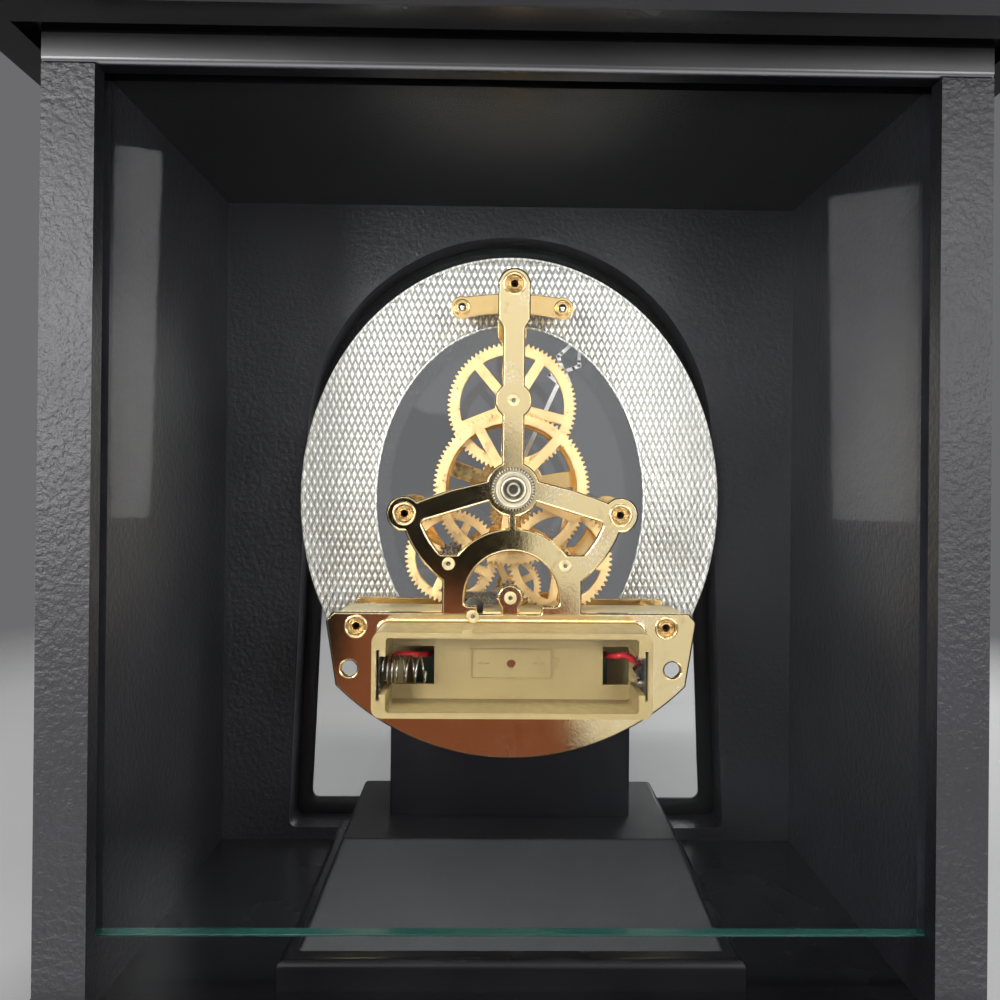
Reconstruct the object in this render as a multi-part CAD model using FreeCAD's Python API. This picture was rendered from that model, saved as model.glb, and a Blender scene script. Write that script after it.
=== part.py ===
import FreeCAD, Part
import math
import os

os.makedirs("parts", exist_ok=True)
V = FreeCAD.Vector

# Frame: millimetres, Z up, origin under the middle of the clock on the surface it stands on.
# The dial faces -Y and the glazed rear, where the movement shows, faces +Y.

# Case
body_width = 180.0
body_depth = 102.0
board_overhang = 12.0
base_overhang = 10.0
foot_height = 3.0
foot_radius = 9.0
foot_inset = 14.0
base_height = 14.0
base_edge_round = 5.0
floor_height = 9.0
floor_overhang = 5.0
floor_edge_round = 2.5
interior_height = 179.0
side_thickness = 10.0
ceiling_thickness = 5.7
ceiling_edge_round = 1.2
cornice_height = 15.0
cornice_quirk_width = 3.8
cornice_quirk_depth = 2.6
cornice_edge_round = 4.0
cap_height = 9.0
cap_inset = 7.0
cap_bevel = 4.0
panel_thickness = 16.4
window_bevel = 1.8

# Arched window in the front panel
arch_radius = 57.1
arch_centre_above_floor = 113.2
arch_foot_half_width = 61.3
arch_sill = 3.4
arch_corner_round = 2.2
lip_thickness = 2.8
lip_width = 4.0
front_glass_thickness = 3.0
front_glass_clearance = 0.4
sealant_width = 5.6
sealant_thickness = 0.8
sealant_clearance = 0.1

# Rear glass, which lifts in its grooves
rear_glass_thickness = 3.0
rear_glass_inset = 4.5
rear_glass_gap_above_floor = 13.5
rear_glass_lift = 8.0
groove_depth = 4.0
groove_clearance = 0.3
glass_top_engagement = 3.0

# Pedestal
plinth_half_width = 46.7
plinth_rear = 41.4
plinth_front_gap = 1.0
plinth_height = 6.0
plinth_round = 1.6
pyramid_foot_half_width = 43.6
pyramid_foot_rear = 37.4
pyramid_foot_front = -30.0
pyramid_top_half_width = 37.7
pyramid_top_rear = 18.4
pyramid_top_front = -20.5
pyramid_height = 15.4
pyramid_edge_round = 1.2
block_half_width = 28.6
block_front = -18.6
block_round = 0.6
pedestal_screw_radius = 1.5
pedestal_screw_x = 20.0
pedestal_screw_length = 18.0

# Movement frame, placed from the centre shaft
shaft_above_floor = 99.5
back_plate_rear = 6.4
plate_thickness = 1.6
front_plate_rear = -20.0
edge_bevel = 0.35
head_half_width = 3.85
head_top = 52.7
head_shoulder = 40.3
arm_shoulder = 38.3
arm_half_width = 2.65
head_round = 3.8
corner_round = 0.9
top_boss_height = 49.0
upper_disc_radius = 4.45
hub_radius = 6.6
boss_x = 25.75
boss_z = -6.0
boss_radius = 4.2
side_arm_top_in = 2.1
side_arm_bend_x = 14.5
side_arm_bend_z = -0.1
side_arm_top_out = -2.9
side_arm_neck_x = 22.5
side_arm_half_root = 5.6
side_arm_low_root = -3.0
side_arm_low_out = -8.3
frame_arc_radius = 27.5
frame_foot_x = 16.6
window_arc_radius = 23.1
window_low_z = -15.6
neck_half_width = 1.05
band_centre_z = -26.0
band_outer_radius = 16.7
band_inner_radius = 11.2
window_step_z = -27.8
window_pocket_z = -29.7
pocket_left = -7.0
pocket_right = 8.3
lug_x = 0.36
lug_radius = 3.1
lug_neck_half_width = 2.15
plate_top = -29.4
plate_corner_margin = 7.2
plate_corner_z = -31.4
plate_top_margin = 5.4
plate_side_margin = 4.7
plate_side_z = -46.8
plate_bottom = -64.0
plate_corner_round = 1.4
foot_screw_gap = 5.6
foot_screw_z = -32.8
free_hole_gap = 1.5
free_hole_z = -42.8
free_hole_radius = 1.87
front_plate_bottom = -44.0
front_plate_margin = 4.1
cross_arm_x = 13.4
cross_arm_z = 48.1
cross_arm_rise = 1.1
cross_arm_half_height = 2.65
cross_boss_radius = 3.0
ring_outer_radius = 19.2
ring_inner_radius = 16.4
ring_hub_radius = 9.0
ring_spoke_width = 4.4
ring_spoke_angles = (18.5, 171.0)

# Screws, pillars and bushes
pillar_radius = 1.9
pillar_hole_radius = 1.05
pillar_hole_depth = 6.0
screw_radius = 1.0
screw_head_radius = 1.9
screw_head_height = 0.75
screw_slot_width = 0.5
screw_slot_depth = 0.4
screw_sink_radius = 2.15
screw_sink_depth = 0.95
rear_screw_turn = 20.0
rear_screw_turn_step = 47.0
front_screw_turn = 30.0
bush_radius = 1.25
bush_flange_radius = 1.5
bush_proud = 0.45
pivot_radius = 0.5
running_clearance = 0.04
seat_clearance = 0.02
arbor_radius = 0.8
pivot_shoulder_gap = 0.4

# Lower housing between the plates
housing_depth = 13.0
housing_margin = 3.7
housing_step_z = -37.0
housing_step_half_width = 32.8
housing_bottom = -52.0
housing_wall = 1.4
housing_notch_half_width = 2.4
housing_notch_depth = 3.6

# Battery box on the back plate
box_half_width = 31.3
box_top = -31.85
box_bottom = -50.9
box_height = 14.0
box_wall = 3.15
box_low_wall = 1.25
box_round = 2.2
box_inner_round = 0.8
box_floor = 0.6
slot_width = 0.7
slot_half_height = 5.6
slot_offset = 1.4
window_left = (18.2, 28.1)
window_right = (-27.9, -21.7)
box_window_top = -37.2
box_window_bottom = -46.2
box_hole_radius = 1.05
symbol_half_width = 9.7
symbol_half_height = 3.6
symbol_nub_width = 1.6
symbol_nub_half_height = 1.3
symbol_line = 0.35
symbol_relief = 0.4
box_lug_x = 9.0
box_lug_width = 2.2
box_lug_height = 0.7

# Contacts, springs and wires
contact_thickness = 0.4
contact_half_height = 5.0
contact_lift = 2.2
contact_height = 10.0
spring_wire_radius = 0.27
spring_radius = 3.3
spring_tip_radius = 2.8
spring_tight_turns = 3
spring_loose_turns = 3
spring_tight_pitch = 1.05
spring_loose_pitch = 2.2
rivet_radius = 0.95
rivet_height = 0.6
rivet_spread = 2.3
tip_length = 1.6
tip_half_height = 1.8
wire_radius = 0.7
wire_board_gap = 0.35
wire_bend_share = 0.45
wire_route_shares = (
    (0.10, 0.0, 0.0),
    (0.22, 0.5, 0.3),
    (0.45, 1.0, 0.8),
    (0.75, 1.0, 0.95),
    (1.0, 0.95, 0.2),
)

# Drive electronics
board_thickness = 1.0
board_gap = 3.0
board_half_width = 24.0
board_half_height = 4.9
board_edge_gap = 3.2
crystal_radius = 1.0
crystal_length = 6.0
chip_width = 5.0
chip_height = 1.2
coil_radius = 3.2
coil_core_radius = 1.2
coil_length = 12.0
coil_flange = 0.8
stator_thickness = 1.4
stator_hole_clearance = 0.6
stator_width = 9.5
rotor_radius = 2.6
rotor_length = 2.6

# Wheels: teeth, modules and planes
pressure_angle = 25.0
addendum_share = 0.75
dedendum_share = 1.1
tooth_thinning = 0.055
train_tooth_size = 0.41
centre_teeth = 96
upper_teeth = 80
centre_pinion_teeth = 23
right_pinion_teeth = 12
left_pinion_teeth = 18
left_teeth = 58
right_teeth = 60
small_tooth_size = 0.445
small_pinion_teeth = 8
fourth_tooth_size = 0.345
fourth_teeth = 48
rotor_pinion_teeth = 10
motion_tooth_size = 0.3
cannon_teeth = 12
motion_teeth = 36
motion_pinion_teeth = 10
hour_teeth = 40
wheel_thickness = 1.4
pinion_extra = 0.4
centre_wheel_front = -11.2
upper_wheel_front = -14.0
fourth_wheel_front = -17.6
cannon_front = -24.4
hour_wheel_front = -26.5
rim_width = 2.9
small_rim_width = 2.4
fourth_rim_width = 1.7
spoke_width = 2.6
small_spoke_width = 2.2
fourth_spoke_width = 1.8
spokes = 5
small_spokes = 4
upper_hub_radius = 3.6
centre_hub_radius = 4.6
small_hub_radius = 3.2
fourth_hub_radius = 2.4
upper_spoke_angle = 50.0
centre_spoke_angle = 61.0
right_spoke_angle = 10.0
left_spoke_angle = 25.0
fourth_spoke_angle = 65.0
right_arbor_angle = 235.0
left_arbor_angle = 310.3
small_arbor_angle = 329.3
rotor_arbor_angle = 333.6

# Hands, shaft and knob
shaft_radius = 1.0
pipe_clearance = 0.08
pipe_wall = 0.6
hour_hand_gap = 0.6
hand_thickness = 0.4
hand_spacing = 1.3
minute_hand_length = 52.0
hour_hand_length = 35.0
minute_hand_angle = 22.0
hand_stem_width = 1.2
hand_hub_radius = 3.2
hand_loop_width = 6.4
hand_line = 1.0
hand_loop_start_share = 0.52
hand_loop_end_share = 0.86
hand_waist_share = 0.35
hand_bar_share = 0.86
hand_foot_share = 1.3
hand_tip_share = 1.6
hand_waist_round = 1.2
hand_inner_round = 0.5
hour_hand_width_share = 0.8
minute_hub_share = 0.8
hand_nut_radius = 1.8
hand_nut_height = 1.4
knob_radius = 5.3
knob_face_radius = 4.75
knob_gap = 0.6
knob_knurl_height = 4.2
knob_face_height = 3.6
knob_knurls = 48
knurl_depth = 0.35
knob_hole_radius = 1.25
knob_hole_depth = 3.0
knob_groove_radius = 3.2
knob_groove_width = 0.6
knob_groove_depth = 0.5

# Dial ring
dial_rear = -29.6
dial_thickness = 0.8
dial_half_width = 57.8
dial_half_height = 67.1
dial_inner_half_width = 36.9
dial_inner_half_height = 47.9
dial_centre_drop = 3.3
dial_rim_width = 0.9
dial_rim_proud = 0.35
marker_length = 7.0
marker_width = 2.0
marker_height = 0.5
marker_count = 12
marker_place_share = 0.5
stud_radius = 0.9
stud_head_radius = 1.25
stud_hole_radius = 1.9
lower_stud_margin = 3.0
lower_stud_z = -37.0

# Cuts run past their faces by this, and faces closer than this touch
overrun = 1.0
touching = 1e-6

# Derived places
half_width = body_width / 2
half_depth = body_depth / 2
base_z = foot_height
floor_z = base_z + base_height + floor_height
ceiling_z = floor_z + interior_height
cornice_z = ceiling_z + ceiling_thickness
inner_half = half_width - side_thickness
panel_inner = -half_depth + panel_thickness
shaft_z = floor_z + shaft_above_floor
back_plate_front = back_plate_rear - plate_thickness
front_plate_front = front_plate_rear - plate_thickness
dial_front = dial_rear - dial_thickness
glass_rear = half_depth - rear_glass_inset
glass_front = glass_rear - rear_glass_thickness
housing_front = back_plate_front - housing_depth
foot_screw_x = box_half_width + foot_screw_gap
free_hole_x = foot_screw_x + free_hole_gap
plate_corner_x = foot_screw_x + plate_corner_margin
plate_top_half_width = foot_screw_x + plate_top_margin
plate_side_x = foot_screw_x + plate_side_margin
front_plate_half_width = foot_screw_x + front_plate_margin
lower_stud_x = front_plate_half_width - lower_stud_margin
housing_half_width = foot_screw_x + housing_margin


def save(name, shape):
    """Write one sub-part; groups of like solids stay one compound."""
    if not shape.isValid():
        print("not valid:", name)
    solids = shape.Solids
    out = solids[0] if len(solids) == 1 else Part.Compound(solids)
    out.exportStep("parts/" + name + ".step")
    print(name, len(solids), round(sum(s.Volume for s in solids), 1))


def box(x0, x1, y0, y1, z0, z1):
    return Part.makeBox(x1 - x0, y1 - y0, z1 - z0, V(x0, y0, z0))


def rod(x, z, radius, y0, y1):
    """A cylinder along Y; z is measured from the centre shaft."""
    return Part.makeCylinder(radius, y1 - y0, V(x, y0, shaft_z + z), V(0, 1, 0))


def slab(x0, x1, z0, z1, y0, y1):
    """A block whose heights are measured from the centre shaft."""
    return box(x0, x1, y0, y1, shaft_z + z0, shaft_z + z1)


def rounded_wire(points):
    """A closed wire through (x, z) or (x, z, radius) points, each radius rounding its corner."""
    corners = [V(p[0], 0, p[1]) for p in points]
    radii = [p[2] if len(p) > 2 else 0 for p in points]
    starts, ends, mids = [], [], []
    count = len(corners)
    for i, corner in enumerate(corners):
        back = (corners[i - 1] - corner).normalize()
        ahead = (corners[(i + 1) % count] - corner).normalize()
        half = back.getAngle(ahead) / 2
        run = radii[i] / math.tan(half)
        starts.append(corner + back * run)
        ends.append(corner + ahead * run)
        bisector = back + ahead
        reach = radii[i] / math.sin(half) - radii[i]
        mids.append(corner + bisector.normalize() * reach if radii[i] else corner)
    edges = []
    for i in range(count):
        if radii[i]:
            edges.append(Part.Arc(starts[i], mids[i], ends[i]).toShape())
        following = starts[(i + 1) % count]
        if (following - ends[i]).Length > touching:
            edges.append(Part.LineSegment(ends[i], following).toShape())
    return Part.Wire(edges)


def prism(points, y0, y1, x=0, z=0):
    """An outline in XZ drawn out along Y; z is measured from the centre shaft."""
    face = Part.Face(rounded_wire(points))
    face.translate(V(x, y0, shaft_z + z))
    return face.extrude(V(0, y1 - y0, 0))


def join(shapes):
    whole = shapes[0]
    for other in shapes[1:]:
        whole = whole.fuse(other)
    return whole.removeSplitter()


def mirrored(shape):
    return shape.mirror(V(0, 0, 0), V(1, 0, 0))


def both_sides(shape):
    return [shape, mirrored(shape)]


def top_edges(shape, height):
    """The straight edges that lie wholly at one height."""
    found = []
    for edge in shape.Edges:
        low, high = edge.BoundBox.ZMin, edge.BoundBox.ZMax
        if abs(low - height) < touching and abs(high - height) < touching:
            found.append(edge)
    return found


def board(half_x, half_y, z0, z1):
    return box(-half_x, half_x, -half_y, half_y, z0, z1)


# Case boards
def feet():
    places = []
    for sx in (-1, 1):
        for sy in (-1, 1):
            x = sx * (half_width - foot_inset)
            y = sy * (half_depth - foot_inset)
            foot = Part.makeCylinder(foot_radius, foot_height, V(x, y, 0))
            places.append(foot)
    return Part.Compound(places)


def base_moulding():
    block = board(half_width + base_overhang, half_depth + base_overhang, base_z, base_z + base_height)
    return block.makeFillet(base_edge_round, top_edges(block, base_z + base_height))


def floor_board():
    block = board(half_width + floor_overhang, half_depth + floor_overhang, base_z + base_height, floor_z)
    return block.makeFillet(floor_edge_round, top_edges(block, floor_z))


def side_board():
    """The right-hand board, with the stopped groove for the rear glass."""
    block = box(inner_half, half_width, -half_depth, half_depth, floor_z, ceiling_z)
    groove = box(
        inner_half - overrun,
        inner_half + groove_depth,
        glass_front - groove_clearance,
        glass_rear + groove_clearance,
        floor_z + rear_glass_gap_above_floor,
        ceiling_z + overrun,
    )
    return block.cut(groove)


def across(point):
    """The same point on the other side of the middle."""
    return V(-point.x, point.y, point.z)


def arch_wire(inset):
    """The arched outline, drawn in by an even inset; heights are measured from the floor."""
    radius = arch_radius - inset
    foot_x = arch_foot_half_width - inset
    sill = arch_sill + inset
    drop = arch_centre_above_floor - sill
    reach = math.hypot(foot_x, drop)
    lean = math.acos(radius / reach) - math.atan2(drop, foot_x)
    touch = V(radius * math.cos(lean), 0, arch_centre_above_floor + radius * math.sin(lean))
    crown = V(0, 0, arch_centre_above_floor + radius)
    corner = V(foot_x, 0, sill)
    rise = (touch - corner).normalize()
    half = rise.getAngle(V(-1, 0, 0)) / 2
    run = arch_corner_round / math.tan(half)
    above = corner + rise * run
    beside = corner - V(run, 0, 0)
    bisector = (rise + V(-1, 0, 0)).normalize()
    middle = corner + bisector * (arch_corner_round / math.sin(half) - arch_corner_round)
    edges = [
        Part.Arc(touch, crown, across(touch)).toShape(),
        Part.LineSegment(across(touch), across(above)).toShape(),
        Part.Arc(across(above), across(middle), across(beside)).toShape(),
        Part.LineSegment(across(beside), beside).toShape(),
        Part.Arc(beside, middle, above).toShape(),
        Part.LineSegment(above, touch).toShape(),
    ]
    return Part.Wire(edges)


def arch_prism(inset, y0, y1):
    face = Part.Face(arch_wire(inset))
    face.translate(V(0, y0, floor_z))
    return face.extrude(V(0, y1 - y0, 0))


lip_inner = -half_depth + lip_thickness
front_glass_inner = lip_inner + front_glass_thickness


def window_bevel_cut():
    """The slanted cut round the outer edge of the window."""
    wires = []
    for inset, y in (
        (lip_width, -half_depth + window_bevel),
        (lip_width - window_bevel - overrun, -half_depth - overrun),
    ):
        wire = arch_wire(inset)
        wire.translate(V(0, y, floor_z))
        wires.append(wire)
    return Part.makeLoft(wires, True, True)


def front_panel():
    block = box(-inner_half, inner_half, -half_depth, panel_inner, floor_z, ceiling_z)
    opening = arch_prism(0, lip_inner, panel_inner + overrun)
    window = arch_prism(lip_width, -half_depth - overrun, lip_inner + overrun)
    return block.cut(opening).cut(window).cut(window_bevel_cut())


def front_glass():
    return arch_prism(front_glass_clearance, lip_inner, front_glass_inner)


def glass_sealant():
    outer = arch_prism(sealant_clearance, front_glass_inner, front_glass_inner + sealant_thickness)
    inner = arch_prism(sealant_width, front_glass_inner - overrun, panel_inner)
    return outer.cut(inner)


def glass_slot(z0, z1):
    half = inner_half + groove_depth
    return box(-half, half, glass_front - groove_clearance, glass_rear + groove_clearance, z0, z1)


def ceiling_board():
    block = board(half_width, half_depth, ceiling_z, cornice_z)
    rear_edge = [e for e in top_edges(block, ceiling_z) if e.BoundBox.YMin > half_depth - touching]
    block = block.makeFillet(ceiling_edge_round, rear_edge)
    return block.cut(glass_slot(ceiling_z - overrun, cornice_z + overrun))


slot_top = ceiling_z + glass_top_engagement + rear_glass_lift + groove_clearance


def cornice():
    """The projecting top board, with a sunk quirk round the body under it."""
    block = board(
        half_width + board_overhang,
        half_depth + board_overhang,
        cornice_z,
        cornice_z + cornice_height,
    )
    block = block.makeFillet(cornice_edge_round, top_edges(block, cornice_z + cornice_height))
    sink = board(
        half_width + cornice_quirk_width,
        half_depth + cornice_quirk_width,
        cornice_z - overrun,
        cornice_z + cornice_quirk_depth,
    )
    body = board(half_width, half_depth, cornice_z - overrun, cornice_z + cornice_quirk_depth)
    return block.cut(sink.cut(body)).cut(glass_slot(cornice_z - overrun, slot_top))


def top_cap():
    z0 = cornice_z + cornice_height
    block = board(half_width - cap_inset, half_depth - cap_inset, z0, z0 + cap_height)
    return block.makeChamfer(cap_bevel, top_edges(block, z0 + cap_height))


def rear_glass():
    half = inner_half + groove_depth - groove_clearance
    z0 = floor_z + rear_glass_gap_above_floor
    return box(-half, half, glass_front, glass_rear, z0, ceiling_z + glass_top_engagement)


# Pedestal
pyramid_z = floor_z + plinth_height
block_z = pyramid_z + pyramid_height
block_top = shaft_z + housing_bottom


def pedestal_screw_hole(radius):
    holes = []
    for x in (-pedestal_screw_x, pedestal_screw_x):
        y = (back_plate_front + block_front) / 2
        holes.append(Part.makeCylinder(radius, pedestal_screw_length, V(x, y, pyramid_z)))
    return join(holes)


def pedestal_plinth():
    rear, front = plinth_rear, panel_inner + plinth_front_gap
    block = box(-plinth_half_width, plinth_half_width, front, rear, floor_z, pyramid_z)
    return block.makeFillet(plinth_round, top_edges(block, pyramid_z))


def rectangle_wire(half_x, y0, y1, z):
    points = [V(-half_x, y0, z), V(half_x, y0, z), V(half_x, y1, z), V(-half_x, y1, z)]
    return Part.makePolygon(points + points[:1])


def pedestal_pyramid():
    foot = rectangle_wire(pyramid_foot_half_width, pyramid_foot_front, pyramid_foot_rear, pyramid_z)
    top = rectangle_wire(pyramid_top_half_width, pyramid_top_front, pyramid_top_rear, block_z)
    solid = Part.makeLoft([foot, top], True, True)
    slanted = [e for e in solid.Edges if e.BoundBox.ZLength > pyramid_height / 2]
    solid = solid.makeFillet(pyramid_edge_round, slanted + top_edges(solid, block_z))
    return solid.cut(pedestal_screw_hole(pedestal_screw_radius))


def pedestal_block():
    block = box(-block_half_width, block_half_width, block_front, back_plate_front, block_z, block_top)
    upright = [e for e in block.Edges if e.BoundBox.ZLength > block_round]
    block = block.makeFillet(block_round, upright)
    return block.cut(pedestal_screw_hole(pedestal_screw_radius))


def pedestal_screws():
    return pedestal_screw_hole(pedestal_screw_radius - seat_clearance)


# Plate outlines
def arm_solid(y0, y1):
    outline = [
        (-arm_half_width, 0),
        (-arm_half_width, arm_shoulder, corner_round),
        (-head_half_width, head_shoulder, corner_round),
        (-head_half_width, head_top, head_round),
        (head_half_width, head_top, head_round),
        (head_half_width, head_shoulder, corner_round),
        (arm_half_width, arm_shoulder, corner_round),
        (arm_half_width, 0),
    ]
    return join([prism(outline, y0, y1), rod(0, upper_distance, upper_disc_radius, y0, y1)])


def shoulder_solid(y0, y1):
    """Hub, side arms, ears and the curved frame legs that reach the lower plate."""
    half = [
        (side_arm_half_root, side_arm_top_in, corner_round),
        (side_arm_bend_x, side_arm_bend_z, corner_round),
        (side_arm_neck_x, side_arm_top_out, corner_round),
        (boss_x, boss_z),
        (frame_arc_radius, boss_z - boss_radius),
        (frame_arc_radius, -frame_arc_radius),
    ]
    outline = half + [(-p[0],) + p[1:] for p in reversed(half)]
    arms = prism(outline, y0, y1).common(rod(0, 0, frame_arc_radius, y0, y1))
    legs = slab(-frame_foot_x, frame_foot_x, plate_top - corner_round, window_low_z, y0, y1)
    pieces = [arms, legs, rod(0, 0, hub_radius, y0, y1)]
    for x in (-boss_x, boss_x):
        pieces.append(rod(x, boss_z, boss_radius, y0, y1))
    return join(pieces)


def far_corners(hole):
    """The upright edges of a window that lie on its outer arc."""
    found = []
    for edge in hole.Edges:
        bounds = edge.BoundBox
        upright = bounds.XLength < touching and bounds.ZLength < touching
        reach = math.hypot(bounds.XMin, bounds.ZMin - shaft_z)
        if upright and abs(reach - window_arc_radius) < touching:
            found.append(edge)
    return found


def quadrant_window(y0, y1):
    """The opening between hub, side arm, frame leg and the half-round band, on the +X side."""
    outline = [
        (neck_half_width, side_arm_low_root, 0),
        (side_arm_half_root, side_arm_low_root, 0),
        (window_arc_radius, side_arm_low_out, 0),
        (window_arc_radius, window_low_z, 0),
        (neck_half_width, window_low_z, 0),
    ]
    hole = prism(outline, y0, y1).common(rod(0, 0, window_arc_radius, y0, y1))
    hole = hole.makeFillet(corner_round, far_corners(hole))
    hole = hole.cut(rod(0, 0, hub_radius, y0 - overrun, y1 + overrun))
    return hole.cut(rod(0, band_centre_z, band_outer_radius, y0 - overrun, y1 + overrun))


def half_round_window(y0, y1):
    disc = rod(0, band_centre_z, band_inner_radius, y0, y1)
    below = slab(-band_inner_radius, band_inner_radius, plate_bottom, band_centre_z, y0, y1)
    square = prism(
        [
            (-band_inner_radius, band_centre_z),
            (band_inner_radius, band_centre_z),
            (band_inner_radius, window_step_z, corner_round),
            (pocket_right, window_step_z, corner_round / 2),
            (pocket_right, window_pocket_z, corner_round / 2),
            (pocket_left, window_pocket_z, corner_round / 2),
            (pocket_left, window_step_z, corner_round / 2),
            (-band_inner_radius, window_step_z, corner_round),
        ],
        y0,
        y1,
    )
    lug = rod(lug_x, small_z, lug_radius, y0 - overrun, y1 + overrun)
    neck = slab(
        lug_x - lug_neck_half_width,
        lug_x + lug_neck_half_width,
        plate_bottom,
        small_z,
        y0 - overrun,
        y1 + overrun,
    )
    return disc.cut(below).fuse(square).cut(lug).cut(neck)


def lower_plate(y0, y1):
    upper = rounded_wire(
        [
            (-plate_side_x, plate_side_z, 0),
            (-plate_corner_x, plate_corner_z, plate_corner_round),
            (-plate_top_half_width, plate_top, 0),
            (plate_top_half_width, plate_top, 0),
            (plate_corner_x, plate_corner_z, plate_corner_round),
            (plate_side_x, plate_side_z, 0),
        ]
    )
    edges = []
    for edge in upper.Edges:
        at_bottom = edge.BoundBox.ZMax - plate_side_z < touching
        if not at_bottom:
            edges.append(edge)
    left = V(-plate_side_x, 0, plate_side_z)
    low = V(0, 0, plate_bottom)
    right = V(plate_side_x, 0, plate_side_z)
    edges.append(Part.Arc(left, low, right).toShape())
    face = Part.Face(Part.Wire(Part.__sortEdges__(edges)))
    face.translate(V(0, y0, shaft_z))
    return face.extrude(V(0, y1 - y0, 0))


# Wheel geometry
def gear_face(teeth, module, phase):
    """An involute gear outline in XZ about the origin; phase turns it from X towards Z."""
    pitch = teeth * module / 2
    alpha = math.radians(pressure_angle)
    base = pitch * math.cos(alpha)
    root = pitch - dedendum_share * module
    tip = pitch + addendum_share * module
    half_at_pitch = math.pi / (2 * teeth) - tooth_thinning / (2 * pitch)
    involute = math.tan(alpha) - alpha

    def half_angle(radius):
        if radius <= base:
            return half_at_pitch + involute
        local = math.acos(base / radius)
        return half_at_pitch + involute - (math.tan(local) - local)

    flank = [root, max(base, root), (max(base, root) + tip) / 2, tip]
    if base <= root:
        flank = [root, (root + tip) / 2, tip]
    points = []
    for tooth in range(teeth):
        middle = phase + 2 * math.pi * tooth / teeth
        for radius in flank:
            angle = middle - half_angle(radius)
            points.append(V(radius * math.cos(angle), 0, radius * math.sin(angle)))
        for radius in reversed(flank):
            angle = middle + half_angle(radius)
            points.append(V(radius * math.cos(angle), 0, radius * math.sin(angle)))
    return Part.Face(Part.makePolygon(points + points[:1]))


def gear(x, z, teeth, module, phase, y0, y1, bore=0.0):
    face = gear_face(teeth, module, phase)
    face.translate(V(x, y0, shaft_z + z))
    solid = face.extrude(V(0, y1 - y0, 0))
    if bore:
        solid = solid.cut(rod(x, z, bore, y0 - overrun, y1 + overrun))
    return solid


def mesh_phase(x0, z0, teeth0, phase0, x1, z1, teeth1):
    """The phase that puts a gap of the second wheel where the first has a tooth."""
    line = math.atan2(z1 - z0, x1 - x0)
    return line + math.pi + (math.pi - teeth0 * (phase0 - line)) / teeth1


def crossings(x, z, radius_in, radius_out, width, angles, y0, y1):
    """The windows between spokes: a ring-shaped cut less one bar per spoke."""
    ring = rod(x, z, radius_out, y0, y1).cut(rod(x, z, radius_in, y0, y1))
    for angle in angles:
        bar = Part.makeBox(radius_out + overrun, y1 - y0, width, V(0, y0, -width / 2))
        bar.rotate(V(0, 0, 0), V(0, 1, 0), -angle)
        bar.translate(V(x, 0, shaft_z + z))
        ring = ring.cut(bar)
    return ring


def spoked_wheel(x, z, teeth, module, phase, y0, y1, bore, spoke_start, hub, rim, width, count):
    wheel = gear(x, z, teeth, module, phase, y0, y1, bore)
    inside = teeth * module / 2 - rim
    angles = [spoke_start + 360.0 * i / count for i in range(count)]
    cut = crossings(x, z, hub, inside, width, angles, y0 - overrun, y1 + overrun)
    return wheel.cut(cut)


# Places of the arbors, measured from the centre shaft
def polar(x, z, distance, angle):
    turn = math.radians(angle)
    return x + distance * math.cos(turn), z + distance * math.sin(turn)


upper_distance = train_tooth_size * (upper_teeth + centre_pinion_teeth) / 2
upper_x, upper_z = 0.0, upper_distance
right_distance = train_tooth_size * (centre_teeth + right_pinion_teeth) / 2
left_distance = train_tooth_size * (centre_teeth + left_pinion_teeth) / 2
right_x, right_z = polar(0, 0, right_distance, right_arbor_angle)
left_x, left_z = polar(0, 0, left_distance, left_arbor_angle)
small_x, small_z = polar(
    right_x, right_z, small_tooth_size * (right_teeth + small_pinion_teeth) / 2, small_arbor_angle
)
rotor_x, rotor_z = polar(
    small_x, small_z, fourth_tooth_size * (fourth_teeth + rotor_pinion_teeth) / 2, rotor_arbor_angle
)
motion_distance = motion_tooth_size * (cannon_teeth + motion_teeth) / 2
hour_tooth_size = 2 * motion_distance / (motion_pinion_teeth + hour_teeth)
motion_x, motion_z = 0.0, -motion_distance

centre_phase = 0.1
centre_pinion_phase = 0.0
upper_phase = mesh_phase(0, 0, centre_pinion_teeth, centre_pinion_phase, upper_x, upper_z, upper_teeth)
right_phase = mesh_phase(0, 0, centre_teeth, centre_phase, right_x, right_z, right_pinion_teeth)
left_phase = mesh_phase(0, 0, centre_teeth, centre_phase, left_x, left_z, left_pinion_teeth)
right_wheel_phase = 0.0
left_wheel_phase = 0.0
small_phase = mesh_phase(
    right_x, right_z, right_teeth, right_wheel_phase, small_x, small_z, small_pinion_teeth
)
fourth_phase = 0.0
rotor_phase = mesh_phase(
    small_x, small_z, fourth_teeth, fourth_phase, rotor_x, rotor_z, rotor_pinion_teeth
)
cannon_phase = 0.0
motion_phase = mesh_phase(0, 0, cannon_teeth, cannon_phase, motion_x, motion_z, motion_teeth)
motion_pinion_phase = 0.0
hour_phase = mesh_phase(
    motion_x, motion_z, motion_pinion_teeth, motion_pinion_phase, 0, 0, hour_teeth
)

arbor_places = [
    (upper_x, upper_z),
    (right_x, right_z),
    (left_x, left_z),
    (small_x, small_z),
    (rotor_x, rotor_z),
]
pillar_places = [(0, top_boss_height), (boss_x, boss_z), (-boss_x, boss_z)]
foot_pillar_places = [(foot_screw_x, foot_screw_z), (-foot_screw_x, foot_screw_z)]
dial_stud_places = [
    (cross_arm_x, cross_arm_z),
    (-cross_arm_x, cross_arm_z),
    (lower_stud_x, lower_stud_z),
    (-lower_stud_x, lower_stud_z),
]


def bush_holes(y0, y1):
    holes = []
    for x, z in arbor_places:
        holes.append(rod(x, z, bush_radius + seat_clearance, y0 - overrun, y1 + overrun))
    return holes


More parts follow.
